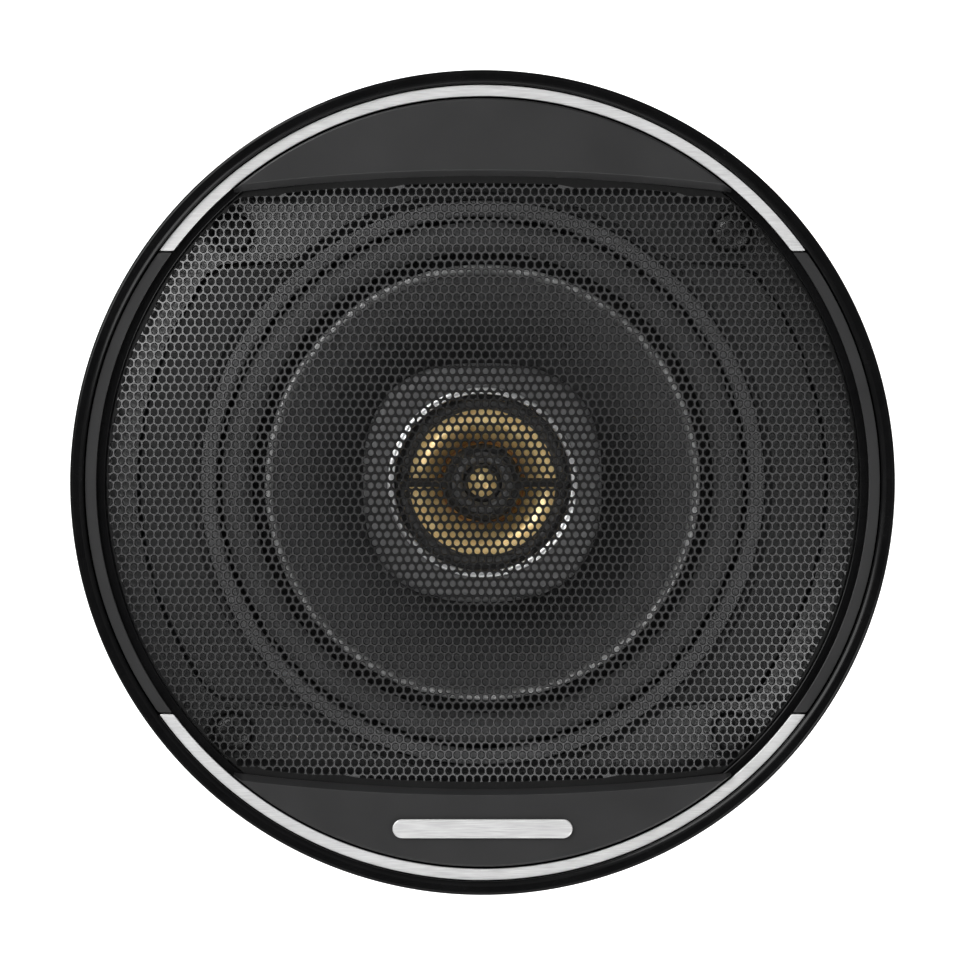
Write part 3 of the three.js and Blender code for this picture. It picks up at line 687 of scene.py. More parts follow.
# A look's recipe: its finish function, that function's values after the name, and the shader's other sockets.
RECIPES = {
    "base_satin": (coned_plastic, {}),
    "gloss_black": (
        grained, (0.0014, 0.0014, 0.0015), (0.0022, 0.0022, 0.0023), (0.18, 0.22), 0.8, 0.0003,
        {"Specular_IOR_Level": 0.08},
    ),
    "satin_black": (
        grained, (0.040, 0.041, 0.042), (0.060, 0.061, 0.062), (0.45, 0.6), 3.2, 0.03,
        {"Specular_IOR_Level": 0.4},
    ),
    "dark_satin": (
        grained, (0.0055, 0.0055, 0.0057), (0.0072, 0.0072, 0.0074), (0.38, 0.46), 4.5, 0.006,
        {"Specular_IOR_Level": 0.28},
    ),
    "brushed_silver": (brushed, (0.26, 0.26, 0.26), (0.42, 0.42, 0.42), (0.3, 0.46), {"Metallic": 0.35}),
    "mesh_paint": (powder_coat_painted_light, {}),
    # painted shade: a darker copy of the mesh paint, for the sheet over the pod
    "mesh_painted_shade": (
        grained, (0.0012, 0.0012, 0.0012), (0.002, 0.002, 0.002), (0.45, 0.6), 2.4, 0.004,
        {"Specular_IOR_Level": 0.15},
    ),
    "pulp": (pulp_painted_shade, {}),
    "rubber": (
        grained, (0.028, 0.028, 0.0285), (0.042, 0.042, 0.043), (0.5, 0.66), 2.0, 0.03, {"Sheen_Weight": 0.15}
    ),
    "gasket": (grained, (0.060, 0.060, 0.061), (0.085, 0.085, 0.087), (0.5, 0.65), 2.2, 0.02, {}),
    "grey_plastic": (grained, (0.11, 0.11, 0.112), (0.13, 0.13, 0.132), (0.4, 0.55), 3.0, 0.012, {}),
    "chrome": (lathed, (0.86, 0.86, 0.87), (0.95, 0.95, 0.96), (0.28, 0.36), 5.0, 0.002, {"Metallic": 1.0}),
    "satin_edge": (lathed, (0.24, 0.24, 0.24), (0.36, 0.36, 0.36), (0.42, 0.55), {"Metallic": 0.5}),
    # painted highlight: a much lighter copy of dark_satin, for the crescents' bevels
    "bevel_painted_highlight": (
        grained, (0.150, 0.150, 0.152), (0.172, 0.172, 0.174), (0.38, 0.46), 4.5, 0.006,
        {"Specular_IOR_Level": 0.5},
    ),
    "gold_cone": (gold_spun, {}),
    "steel_paint": (
        grained, (0.007, 0.007, 0.0075), (0.015, 0.015, 0.016), (0.3, 0.46), 1.1, 0.03, {"Coat_Weight": 0.25}
    ),
    "zinc_steel": (plated, (0.40, 0.40, 0.38), (0.62, 0.61, 0.58), (0.26, 0.42), {}),
    "deep_black": (
        grained, (0.006, 0.006, 0.0062), (0.011, 0.011, 0.0113), (0.4, 0.55), 3.0, 0.01,
        {"Specular_IOR_Level": 0.3},
    ),
    # painted shade: near-black, for the sheet's cut edge and the surround's glued rims
    "painted_shade_black": (
        grained, (0.0015, 0.0015, 0.0015), (0.003, 0.003, 0.003), (0.6, 0.75), 3.0, 0.01,
        {"Specular_IOR_Level": 0.08},
    ),
    "black_steel": (lathed, (0.03, 0.03, 0.03), (0.07, 0.07, 0.07), (0.3, 0.45), {"Metallic": 0.8}),
    "ferrite": (ferrite, {}),
    "nickel_magnet": (lathed, (0.48, 0.47, 0.44), (0.62, 0.61, 0.58), (0.18, 0.3), {"Metallic": 1.0}),
    "copper": (wound, (0.30, 0.10, 0.04), (0.80, 0.38, 0.20), 0.3, {}),
    "kapton": (
        grained, (0.26, 0.11, 0.02), (0.36, 0.17, 0.035), (0.25, 0.4), 0.8, 0.01, {"Coat_Weight": 0.4}
    ),
    "spider_cloth": (woven, (0.30, 0.19, 0.075), (0.55, 0.39, 0.18), 0.55, 0.2, {}),
    "felt": (woven, (0.02, 0.02, 0.02), (0.05, 0.05, 0.05), 0.35, 0.5, {}),
    "board": (
        grained, (0.13, 0.065, 0.022), (0.20, 0.11, 0.042), (0.4, 0.55), 1.4, 0.02, {"Coat_Weight": 0.2}
    ),
    "terminal_brass": (plated, (0.52, 0.36, 0.13), (0.74, 0.55, 0.24), (0.2, 0.34), {}),
    "capacitor_sleeve": (
        grained, (0.012, 0.03, 0.085), (0.02, 0.045, 0.12), (0.3, 0.42), 0.9, 0.01, {"Coat_Weight": 0.3}
    ),
    "cable_jacket": (grained, (0.008, 0.008, 0.008), (0.015, 0.015, 0.015), (0.4, 0.55), 1.5, 0.015, {}),
}
LOOKS = {
    name: finish(name, *values, **sockets) for name, (finish, *values, sockets) in RECIPES.items()
}


# ---- placing ----
def shaded(piece, sharp=35, weighted=True):
    piece.data.shade_smooth()
    piece.data.set_sharp_from_angle(angle=math.radians(sharp))
    if weighted:
        even = piece.modifiers.new("even", "WEIGHTED_NORMAL")
        even.keep_sharp = True
    return piece


def placed(piece, *nodes, body=None, slot=None, look=None, sharp=35, weighted=True):
    """Gives a piece its finish and its body, those of the first CAD node that it stands for unless told."""
    slot = slot or SLOT_OF[nodes[0]]
    piece.data.materials.clear()
    piece.data.materials.append(LOOKS[look or slot])
    shaded(piece, sharp, weighted)
    if nodes:
        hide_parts(*nodes)
    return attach(piece, body or BODY_OF[nodes[0]])


def turned_piece(node, outline, facets=FINE, look=None):
    """A piece turned round the axis, in place of one CAD node."""
    placed(turned(f"{node}_fine", outline, facets), node, look=look)


def edge_blend(piece, node, look=None):
    """A round suspension in place of one CAD node: it gets its finish and smooth shading and stays in the
    world's frame, with no body.
    """
    slot = SLOT_OF[node]
    piece.data.materials.append(LOOKS[look or slot])
    shaded(piece)
    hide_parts(node)
    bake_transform(piece)


# ---- camera, light and floor ----
FRAME_WIDTH = 182.3  # how much the view takes in at the ring
LENS = 250
SENSOR = 36
FLOOR_Z = -0.60  # the floor's measures are metres
FLOOR_HALF = 9
WALL_Y = 3.2
WALL_TOP = 4
BEND = 0.9


def camera():
    data = bpy.data.cameras.new("camera")
    data.lens = LENS
    data.sensor_width = SENSOR
    data.clip_end = 50
    eye = added("camera", data)
    distance = FRAME_WIDTH * LENS / SENSOR
    eye.location = (0, -(distance + RING_TOP) * MM, 0)
    eye.rotation_euler = (math.pi / 2, 0, 0)
    bpy.context.scene.camera = eye


def lamp(name, place, width, height, power):
    """A soft rectangular lamp that faces the speaker. Places and sizes are metres."""
    data = bpy.data.lights.new(name, "AREA")
    data.shape = "RECTANGLE"
    data.size = width
    data.size_y = height
    data.energy = power
    body = added(name, data)
    body.location = place
    body.rotation_euler = (-Vector(place)).to_track_quat("-Z", "Y").to_euler()


def backdrop():
    """A pale floor that curves up into a wall far behind the speaker. The wall gives a little light."""
    turns = [math.pi / 2 * k / 16 for k in range(17)]
    bend = [(WALL_Y - BEND + BEND * math.sin(t), FLOOR_Z + BEND * (1 - math.cos(t))) for t in turns]
    profile = [(-FLOOR_HALF, FLOOR_Z), (0, FLOOR_Z), *bend, (WALL_Y, WALL_TOP)]
    verts = [(x, y, z) for y, z in profile for x in (-FLOOR_HALF, FLOOR_HALF)]
    mesh = bpy.data.meshes.new("floor")
    mesh.from_pydata(verts, [], [(2 * k, 2 * k + 1, 2 * k + 3, 2 * k + 2) for k in range(len(profile) - 1)])
    mesh.shade_smooth()
    f = Finish("floor")
    pale = f.mixed(f.noise(f.place, 0.004, 3), (0.78, 0.78, 0.78), (0.82, 0.82, 0.82))
    f.shader.inputs["Emission Color"].default_value = (1, 1, 1, 1)
    glow = f.spread(f.parts(f.place)[1], 0.0, 1.05, 900, 2300)
    f.link(glow, f.shader.inputs["Emission Strength"])
    mesh.materials.append(f.done(pale, 0.9, Specular_IOR_Level=0.1))
    added("floor", mesh)


# (how far a direction points away from the viewer, how bright the sky is there)
SKY_STOPS = (
    (-1, 0.0), (-0.989, 0.02), (-0.972, 1.5), (-0.93, 1.2), (-0.9, 0.7), (-0.6, 0.5), (-0.3, 0.1), (0, 0.04),
    (0.2, 0.5), (1, 0.6),
)


def sky():
    """A white tent round the speaker: dark where the viewer looks in and at the sides, and weaker at the
    upper right and lower left than at the other two corners."""
    world = bpy.data.worlds.new("studio")
    bpy.context.scene.world = world
    world.use_nodes = True
    nodes = Nodes(world.node_tree)
    shade = nodes.tree.nodes["Background"]
    place = nodes.tree.nodes.new("ShaderNodeTexCoord")
    ramp = nodes.tree.nodes.new("ShaderNodeValToRGB")
    x, y, z = nodes.parts(place.outputs["Generated"])
    nodes.link(nodes.spread(y, 0, 1, -1, 1), ramp.inputs["Fac"])
    stops = ramp.color_ramp.elements
    for k, (direction, strength) in enumerate(SKY_STOPS):
        position = (direction + 1) / 2
        stop = stops[k] if k < 2 else stops.new(position)
        stop.position = position
        stop.color = (strength, strength, strength, 1)
    nodes.link(ramp.outputs["Color"], shade.inputs["Color"])
    square = nodes.math("ADD", nodes.math("MULTIPLY", x, x), nodes.math("MULTIPLY", z, z))
    slant = nodes.math("DIVIDE", nodes.math("MULTIPLY", x, z), nodes.math("ADD", square, 0.001))
    nodes.link(nodes.math("MULTIPLY_ADD", slant, -0.35, 0.85), shade.inputs["Strength"])


camera()
lamp("softbox_left", (-0.67, -0.76, 0.50), 0.7, 0.7, 21)
lamp("softbox_right", (0.63, -0.76, -0.52), 0.6, 0.6, 14)
lamp("softbox_side", (-0.53, -0.08, 0.85), 1.8, 0.16, 8)
lamp("softbox_low", (0.15, -0.40, -0.55), 1.0, 0.2, 2)
backdrop()
sky()
bpy.context.scene.view_settings.view_transform = "Standard"
bpy.context.scene.view_settings.look = "None"


# ---- grille ----
def mesh_height(x, z):
    """Middle of the domed mesh sheet, which dips towards the crescents."""
    dome = MESH_TOP - MESH_T / 2 - MESH_DROP * (math.hypot(x, z) / MESH_R) ** 3
    nearness = min(1, max(0, 1 - (mesh_edge(x) - abs(z)) / MESH_DIP_REACH))
    return dome - MESH_DIP * max(0, (dome - MESH_LOW) / MESH_DIP_SPAN) * nearness * nearness


def chord(x):
    """Height z of the crescents' inner edge."""
    return CHORD_Z - CHORD_R + math.sqrt(CHORD_R**2 - x**2)


def mesh_edge(x):
    """Height z of the sheet's nearly straight edge, just inside the crescents."""
    return chord(x) - 1


def grille_ring():
    lip_in, lip_top, lip_rear = MESH_R + 0.3, INLAY_REAR - 0.1, INLAY_REAR - 1.2
    inner, groove, back = RING_R - 2, INLAY_R + 0.2, 0.6
    outline = [
        (inner, back), (RING_R, back), (RING_R, RING_TOP - 0.4), (RING_R - 0.35, RING_TOP),
        (groove + 0.75, RING_TOP), (groove, RING_TOP - 0.35), (groove, lip_top),
        (lip_in, lip_top), (lip_in, lip_rear), (inner, lip_rear),
    ]
    body = turned("grille_ring_fine", rounded(outline, 0.3), 288)
    nub = softened(box(BASE_R - 1.2, inner + 0.4, 1.4, lip_rear, -4, 4), 0.3)
    placed(joined("grille_ring_fine", [body, *four_copies(nub)]), "grille_ring")


PITCH_X = 1.547
PITCH_Z = 1.542
LATTICE = (0.576, -0.563)  # the middle of one hole
HOLE_TURNS = [math.pi / 12 + math.pi / 6 * k for k in range(12)]
REAR_HOLE = [(0.56 * math.cos(t), 0.62 * math.sin(t)) for t in HOLE_TURNS]  # round, where it was punched out
FRONT_CORNERS = [(0.66, 0.177), (0.54, 0.54), (0.205, 0.764)]  # a quarter of the wider mouth, a soft hexagon
FRONT_HOLE = [
    (sx * x, sz * z)
    for sx, sz in ((1, 1), (-1, 1), (-1, -1), (1, -1))
    for x, z in FRONT_CORNERS[:: sx * sz]
]
SEAM_WAVE = 0.14
MESH_EDGE = 0.18  # narrowest strand along the sheet's edge
LEAST_HOLE = 0.25  # share of a cut hole's area that it must keep


def hole_at(x, z, shape, edge):
    """A hole's outline, or the part of it that is inside the sheet's edge."""
    rim = []
    for dx, dz in shape:
        px, pz = x + dx, z + dz
        limit = mesh_edge(px) - edge
        pz = min(limit, max(-limit, pz))
        shrink = min(1, (MESH_R - edge) / math.hypot(px, pz))
        rim.append((px * shrink, pz * shrink))
    return rim


def mesh_holes(side, seam):
    """The staggered holes on one side of the seam, at the rear and at the front. Those cut by the sheet's
    edge are kept while enough of them is left."""
    rows = int(MESH_R / PITCH_Z) + 2
    rears, fronts = [], []
    for j in range(-rows, rows + 1):
        z = LATTICE[1] + j * PITCH_Z
        if (z - seam) * side < 0:
            continue
        for i in range(-rows, rows + 1):
            x = LATTICE[0] + (i + 0.5 * (j % 2)) * PITCH_X
            if math.hypot(x, z) > MESH_R + 1:
                continue
            behind = hole_at(x, z, REAR_HOLE, MESH_EDGE + 0.08)
            if abs(signed_area(behind)) > LEAST_HOLE * abs(signed_area(REAR_HOLE)):
                rears.append(behind)
                fronts.append(hole_at(x, z, FRONT_HOLE, MESH_EDGE))
    return rears, fronts


def at_rim(x, z):
    """Whether a point is on the outer edge of the sheet."""
    return math.hypot(x, z) > MESH_R - 0.05 or abs(z) > mesh_edge(x) - 0.05


def in_painted_shade(x, z):
    """Whether a point of the sheet is in the patch of painted shade in front of the pod."""
    return max(abs(x), abs(z)) < PAINTED_SHADE_HALF and math.hypot(x, z) < PAINTED_SHADE_R


def grille_mesh():
    """The perforated sheet, in an upper and a lower half that meet in the middle of a zigzag strand."""
    middle = LATTICE[1] + PITCH_Z / 2
    xs = (k / 100 for k in range(int(MESH_R * 100)))
    corner_x = next(x for x in xs if mesh_edge(x) < math.sqrt(MESH_R**2 - x**2))
    corner = math.atan2(mesh_edge(corner_x), corner_x)
    start = math.asin(middle / MESH_R)
    seam = []
    for i in range(-46, 46):
        x = LATTICE[0] + i * PITCH_X
        seam += [(x, middle + SEAM_WAVE), (x + PITCH_X / 2, middle - SEAM_WAVE)]
    seam = [(x, z) for x, z in seam if abs(x) < MESH_R * math.cos(start) - 0.3]
    for side, name in ((1, "grille_mesh_upper"), (-1, "grille_mesh_lower")):
        right = arc(MESH_R, side * start, corner, 60)
        across = [corner_x * (1 - 2 * k / 80) for k in range(1, 80)]
        top = [(x, mesh_edge(x)) for x in across]
        left = arc(MESH_R, math.pi - corner, math.pi - side * start, 60)
        outline = [(x, side * z) for x, z in [*right, *top, *left]] + seam
        rears, fronts = mesh_holes(side, middle)
        sheet = [[outline, *rears], -MESH_REAR, MESH_T / 2, 0, 1, mesh_height, [outline, *fronts]]
        half = placed(slab(name, *sheet), "grille_mesh", sharp=40, weighted=False)
        # painted shade: near-black on faces touching the sheet's outer edge
        half.data.materials.append(LOOKS["painted_shade_black"])
        half.data.materials.append(LOOKS["mesh_painted_shade"])
        rim = [at_rim(v.co.x / MM, v.co.z / MM) for v in half.data.vertices]
        # painted shade on the patch over the pod, and on the faces along the sheet's outer edge
        for face in half.data.polygons:
            dark = in_painted_shade(face.center.x / MM, face.center.z / MM)
            face.material_index = 2 if dark else int(any(rim[v] for v in face.vertices))


def inlay(node, starts, ends):
    """An arc of flat band with round edges. Each end has two angles, inside and outside."""
    r0, r1 = INLAY_R - INLAY_WIDTH, INLAY_R
    count = max(24, int(abs(ends[0] - starts[0]) * 90))
    outer = arc(r1, starts[1], ends[1], count)
    inner = arc(r0, ends[0], starts[0], count)
    loop = rounded_ends([*outer, *inner], count, 0.35)
    placed(slab(f"{node}_fine", [loop], INLAY_REAR, INLAY_TOP, 0.14), node)


def inlays():
    """The two silver arcs, which end at CUT_Z, and the two dark arcs between them."""
    radii = (INLAY_R - INLAY_WIDTH, INLAY_R)
    silver = [math.asin(CUT_Z / r) for r in radii]
    dark = [math.asin((CUT_Z - 0.3) / r) for r in radii]
    inlay("silver_arc_top", silver, [math.pi - t for t in silver])
    inlay("silver_arc_bottom", [t + math.pi for t in silver], [2 * math.pi - t for t in silver])
    inlay("side_arc_right", [-t for t in dark], dark)
    inlay("side_arc_left", [math.pi - t for t in dark], [math.pi + t for t in dark])


def crescent(side, name):
    """The panel between inlay and mesh, with a bevel along its inner edge and a round shoulder outside."""
    steps, sections = 180, []
    low, face = CRESCENT_TOP - BEVEL, CRESCENT_TOP - 0.015
    for k in range(steps + 1):
        x = CRESCENT_TIP * (2 * k / steps - 1)
        inner, outer = chord(x), math.sqrt(CRESCENT_R**2 - x**2)
        width = outer - inner
        bevel = min(BEVEL, width * 0.85)
        shoulder = min(SHOULDER, (width - bevel) * 0.6)
        lip = min(0.12, bevel * 0.3)
        round_off = [
            (outer - shoulder * (1 - math.sin(t)), CRESCENT_TOP - SHOULDER * (1 - math.cos(t)))
            for t in [math.pi / 2 * q / 6 for q in range(7)]
        ]
        section = [
            (inner, INLAY_REAR), (inner, low - lip), (inner + lip * 0.3, low + lip * 0.3),
            (inner + bevel - lip, CRESCENT_TOP - BEVEL * lip / bevel - 0.02), (inner + bevel, face),
            (inner + bevel + lip, CRESCENT_TOP), *round_off, (outer, INLAY_REAR),
        ]
        sections.append([(side * x, a, side * z) for z, a in section])
    panel = placed(lofted(f"crescent_{name}_fine", sections), f"crescent_{name}", sharp=50)
    # painted highlight: the bevel faces, picked by which way they face, get the lighter copy
    panel.data.materials.append(LOOKS["bevel_painted_highlight"])
    for polygon in panel.data.polygons:
        if 0.4 < -polygon.normal.y < 0.9 and polygon.normal.z * side < -0.3:
            polygon.material_index = 1


def badge():
    low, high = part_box("badge_bar")
    x1, z0, z1 = high.x / MM, low.z / MM, high.z / MM
    radius, middle = (z1 - z0) / 2, (z0 + z1) / 2
    loop = arc(radius, -math.pi / 2, math.pi / 2, 20, (x1 - radius, middle))
    loop += arc(radius, math.pi / 2, 3 * math.pi / 2, 20, (radius - x1, middle))
    placed(slab("badge_bar_fine", [loop], rear("badge_bar"), front("badge_bar"), 0.22, 4), "badge_bar")


grille_ring()
grille_mesh()
inlays()
crescent(1, "top")
crescent(-1, "bottom")
badge()


# ---- grille base and screws ----
def flange_loop(margin):
    """The basket's round flange with an ear at each screw, grown by a margin."""
    radius, half = FLANGE_R + margin, EAR_HALF + margin
    root = math.asin(half / radius) + 0.05
    loop = []
    for middle in DIAGONALS:
        loop += arc(radius, middle - math.pi / 2 + root, middle - root, 40)
        centre = (SCREW_DISTANCE * math.cos(middle), SCREW_DISTANCE * math.sin(middle))
        loop += arc(half, middle - math.pi / 2, middle + math.pi / 2, 16, centre)
    return loop


RECESS_R = 65.2  # the side recesses' outer wall
RECESS_Z = 41.1  # their upper wall, at its outer end
GROOVE_R = 66.5
LEDGE_Z = 52.5  # the base is lower beyond this
ABOVE = 9  # a height in front of the base, where a tool that cuts it can end
ASIDE = 90  # a distance beyond its edge


def recess_loop(side, grow):
    """The outline of a D-shaped side recess, open towards the middle."""
    r1, top = RECESS_R + grow, RECESS_Z + grow
    end = math.asin((top - 1.8) / r1)
    x = math.sqrt(r1**2 - top**2)
    upper = [(x - 0.4, top - 0.7), (x - 1.4, top), (30, top + 1.7)]
    loop = [*arc(r1, -end, end, 40), *upper, *[(x, -z) for x, z in reversed(upper)]]
    return [(side * x, z) for x, z in loop]


def side_recess(side):
    """The space of a side recess whose floor rises outwards, and of the groove round it."""
    space = slab("tool", [recess_loop(side, 0)], 1.0, ABOVE, 0)
    r0 = BASE_IN_R - 4
    floor = turned("tool", [(r0, -2), (GROOVE_R, -2), (GROOVE_R, 4.9), (r0, 1.35)])
    groove = slab("tool", [recess_loop(side, 0.3), recess_loop(side, -0.4)], 1.6, ABOVE, 0)
    return [carved(space, [floor]), groove]


def grille_base():
    outline = [(BASE_IN_R, 0.1), (BASE_R, 0.1), (BASE_R, BASE_TOP), (BASE_IN_R, BASE_TOP)]
    body = turned("grille_base_fine", rounded(outline, 0.3))
    tools = [slab("tool", [flange_loop(0.3)], -1, SHEET + 0.3, 0)]
    for x, z in SCREW_PLACES:
        tools.append(disc(4.95, 2.4, ABOVE, x, z))
        tools.append(disc(2.6, -1, ABOVE, x, z, 32))
    tools.append(box(-ASIDE, ASIDE, BASE_TOP - 1.5, ABOVE, LEDGE_Z, ASIDE))
    tools.append(box(-ASIDE, ASIDE, BASE_TOP - 1.5, ABOVE, -ASIDE, -LEDGE_Z))
    tools += [*side_recess(1), *side_recess(-1)]
    tools += four_copies(box(BASE_R - 1.6, BASE_R + 1, -1, ABOVE, -4.4, 4.4))
    placed(softened(carved(body, tools), 0.22), "grille_base", look="base_satin")


SCREW_SEAT = 2.55  # height of the face under the screws' heads


def screw_thread(steps=180, sides=40):
    """The shank: a core with a winding thread and a point."""
    tip, pitch, core, crest = -14.0, 1.4, 1.45, 0.45
    sections = []
    for j in range(steps + 1):
        a = tip + (SCREW_SEAT - tip) * j / steps
        taper = min(1, (a - tip) / 3.2 + 0.04)
        plain = min(1, max(0, (1.2 - a) / 1.2))
        section = []
        for k in range(sides):
            t = 2 * math.pi * k / sides
            tooth = max(0, 1 - abs((a / pitch - k / sides) % 1 - 0.5) / 0.28)
            r = (core + crest * tooth * plain) * taper
            section.append((r * math.cos(t), a, r * math.sin(t)))
        sections.append(section)
    return lofted("thread", sections)


def screw_head():
    """A low round head with a cross recess."""
    profile = [(0, 0), (3.8, 0), (3.8, 0.8), (3.4, 1.4), (2.4, 1.95), (1.2, 2.1), (0, 2.1)]
    cap = turned("head", rounded([(r, SCREW_SEAT + a) for r, a in profile], 0.25), TINY)
    slots = [box(-w, w, SCREW_SEAT + 0.8, SCREW_SEAT + 4, -h, h) for w, h in ((2.1, 0.42), (0.42, 2.1))]
    return softened(carved(cap, slots), 0.08)


def screws():
    for k, t in enumerate(DIAGONALS):
        screw = joined(f"mounting_screw_{k + 1}_fine", [screw_head(), screw_thread()])
        moved(screw, SCREW_DISTANCE * math.cos(t), 0, SCREW_DISTANCE * math.sin(t))
        placed(screw, f"mounting_screw_{k + 1}", look="black_steel")


grille_base()
screws()


# ---- basket, gasket and motor ----
def window(middle):
    """The space of one window between two struts."""
    half, r0, r1 = math.radians(33), 38, 48
    loop = [*arc(r1, middle - half, middle + half, 12), *arc(r0, middle + half, middle - half, 12)]
    return slab("tool", [rounded_ends(loop, 12, 2.2)], -20.2, -1.5, 0)


def basket():
    middle = SHEET / 2
    path = [
        (FLANGE_R - 3, middle), (50.9, middle), (50.3, middle - 0.2), (49.9, middle - 0.9), (49.6, -2.4),
        (49.1, -3.6), (36.4, -16.6), (35.2, -17.2), (30.8, -17.2), (29.9, -17.9), (26.8, -26.4),
        (25.6, -27.3), (15.2, -27.3),
    ]
    bowl = turned("basket_fine", ribbon(path, SHEET), LARGE)
    mouth = circle(LARGE, FLANGE_R - 4.5)
    screw_holes = [circle(40, 2.5, place) for place in SCREW_PLACES]
    rim = slab("tool", [flange_loop(0), mouth, *screw_holes], 0, SHEET, 0.2, 2)
    tab = slab("tool", [rounded([(32, -13), (47, -13), (47, 13), (32, 13)], 1.6, 4)], -17.75, -16.65, 0.15, 2)
    carved(bowl, [rim, tab], "UNION")
    carved(bowl, [window(middle) for middle in DIAGONALS])
    placed(softened(bowl, 0.18, 2, 40), "basket")


def strut_ribs():
    """A low rib along each strut. The first strut's is short, to leave room for the terminal board."""
    ribs = []
    for k in range(4):
        points = smooth([(48.2, -5.2, 0), (44, -9.4, 0), (39.5, -13.9, 0), (36.8, -16.0, 0)], 5)
        if k == 0:
            points = points[:10]
        sizes = [0.35 + 0.75 * math.sin(math.pi * i / (len(points) - 1)) for i in range(len(points))]
        turn = Matrix.Rotation(-math.pi / 2 * k, 3, "Y")
        ribs.append(tube("rib", [turn @ Vector(p) for p in points], sizes, 20))
    placed(joined("basket_strut_ribs", ribs), body="chassis", slot="steel_paint")


def gasket():
    a0, a1 = rear("gasket_ring"), front("gasket_ring")
    inner, outer = 50.5, GASKET_R - 0.5
    outline = [
        (inner, a0), (outer, a0), (outer, a1 - 0.2), (outer - 0.5, a1), (inner + 0.5, a1), (inner, a1 - 0.5),
    ]
    turned_piece("gasket_ring", rounded(outline, 0.4, 4), look="gasket")


def top_plate():
    a0, a1, bore = rear("top_plate"), front("top_plate"), 14.2
    plate = [(bore, a0), (PLATE_R, a0), (PLATE_R, a1), (bore, a1)]
    turned_piece("top_plate", rounded(plate, 0.6, 4), LARGE)


MAGNET_BACK = rear("ferrite_magnet")
MAGNET_FRONT = front("ferrite_magnet")


def magnet():
    bore, edge = 19, 0.7
    ring = [
        (bore, MAGNET_BACK), (MAGNET_R - edge, MAGNET_BACK), (MAGNET_R, MAGNET_BACK + edge),
        (MAGNET_R, MAGNET_FRONT - edge), (MAGNET_R - edge, MAGNET_FRONT), (bore, MAGNET_FRONT),
    ]
    turned_piece("ferrite_magnet", rounded(ring, 0.25), LARGE)


def back_yoke():
    """The back plate and the pole in one piece, with a hole through it and a slot for the feed cable."""
    bore, pole, back_top, pole_top = 2.6, 12.0, MAGNET_BACK - 0.15, front("back_yoke")
    yoke = [
        (bore, BACK_FACE), (19.5, BACK_FACE), (20, BACK_FACE + 0.35), (26.5, BACK_FACE + 0.35),
        (27, BACK_FACE), (PLATE_R - 1.2, BACK_FACE), (PLATE_R, BACK_FACE + 1.2), (PLATE_R, back_top),
        (pole, back_top), (pole, pole_top), (bore, pole_top),
    ]
    body = turned("back_yoke_fine", rounded(yoke, 0.25), LARGE)
    slot = box(0, PLATE_R + 1, BACK_FACE - 1, BACK_FACE + 2.7, -1.6, 1.6)
    mouth = box(0, 6.4, BACK_FACE - 1, BACK_FACE + 6.4, -1.6, 1.6)
    placed(softened(carved(body, [slot, mouth]), 0.2, 2, 50), "back_yoke")


def glue_beads():
    """The glue that shows at the magnet's two joints."""
    beads = []
    for a in (MAGNET_FRONT + 0.08, MAGNET_BACK - 0.08):
        beads.append(turned("bead", circle(14, 0.42, (PLATE_R + 0.1, a)), LARGE))
    placed(joined("magnet_glue_beads", beads), body="chassis", slot="cable_jacket")


def rivets():
    """Four rivets that hold the basket to the top plate."""
    distance, floor = 20.5, -27.85 + SHEET
    profile = [(0, -0.05), (1.9, -0.05), (1.75, 0.35), (1.1, 0.75), (0, 0.85)]
    dome = rounded([(r, floor + a) for r, a in profile], 0.1)
    pieces = [
        moved(turned("rivet", dome, 32), distance * math.cos(t), 0, distance * math.sin(t)) for t in DIAGONALS
    ]
    placed(joined("basket_rivets", pieces), body="chassis", slot="zinc_steel")


basket()
strut_ribs()
gasket()
top_plate()
magnet()
back_yoke()
glue_beads()
rivets()


# ---- pod ----
def pod_loop(shrink, count=192):
    """The pod's outline, a square with full round corners, moved inwards."""
    size = POD_HALF - shrink
    loop = []
    for c, s in circle(count):
        radius = size / (abs(c) ** POD_POWER + abs(s) ** POD_POWER) ** (1 / POD_POWER)
        loop.append((radius * c, radius * s))
    return loop


def blended(one, two, share):
    return [(p[0] + (q[0] - p[0]) * share, p[1] + (q[1] - p[1]) * share) for p, q in zip(one, two)]


def bezel():
    """The pod's face: full round shoulders outside, a soft slope down to the chrome ring inside."""
    a0, mouth_r, count = rear("pod_bezel"), CHROME_R + 0.2, 256
    mouth, lip = circle(count, mouth_r), circle(count, mouth_r + 0.25)
    shoulder, wall = 2.6, 1.5
    side, face, inner = pod_loop(0.0, count), pod_loop(shoulder, count), pod_loop(wall, count)
    loops = [(pod_loop(0.9, count), a0), (side, a0), (side, a0 + 1)]
    for t in [math.pi / 2 * k / 8 for k in range(9)]:
        drop = shoulder * 0.8 * (1 - math.sin(t))
        loops.append((pod_loop(shoulder * (1 - math.cos(t)), count), POD_TOP - drop))
    loops += [(blended(face, lip, share), POD_TOP) for share in (0.3, 0.6, 0.85)]
    loops += [
        (lip, POD_TOP - 0.02), (circle(count, mouth_r + 0.06), POD_TOP - 0.12), (mouth, POD_TOP - 0.35),
        (mouth, POD_TOP - 1.4), (blended(inner, mouth, 0.5), POD_TOP - 1.4),
        (pod_loop(2.4, count), POD_TOP - 1.9), (inner, POD_TOP - 2.8), (inner, a0 + 0.2),
    ]
    sections = [[(x, a, z) for x, z in loop] for loop, a in loops]
    placed(lofted("pod_bezel_fine", sections, closed=True), "pod_bezel", look="grey_plastic")


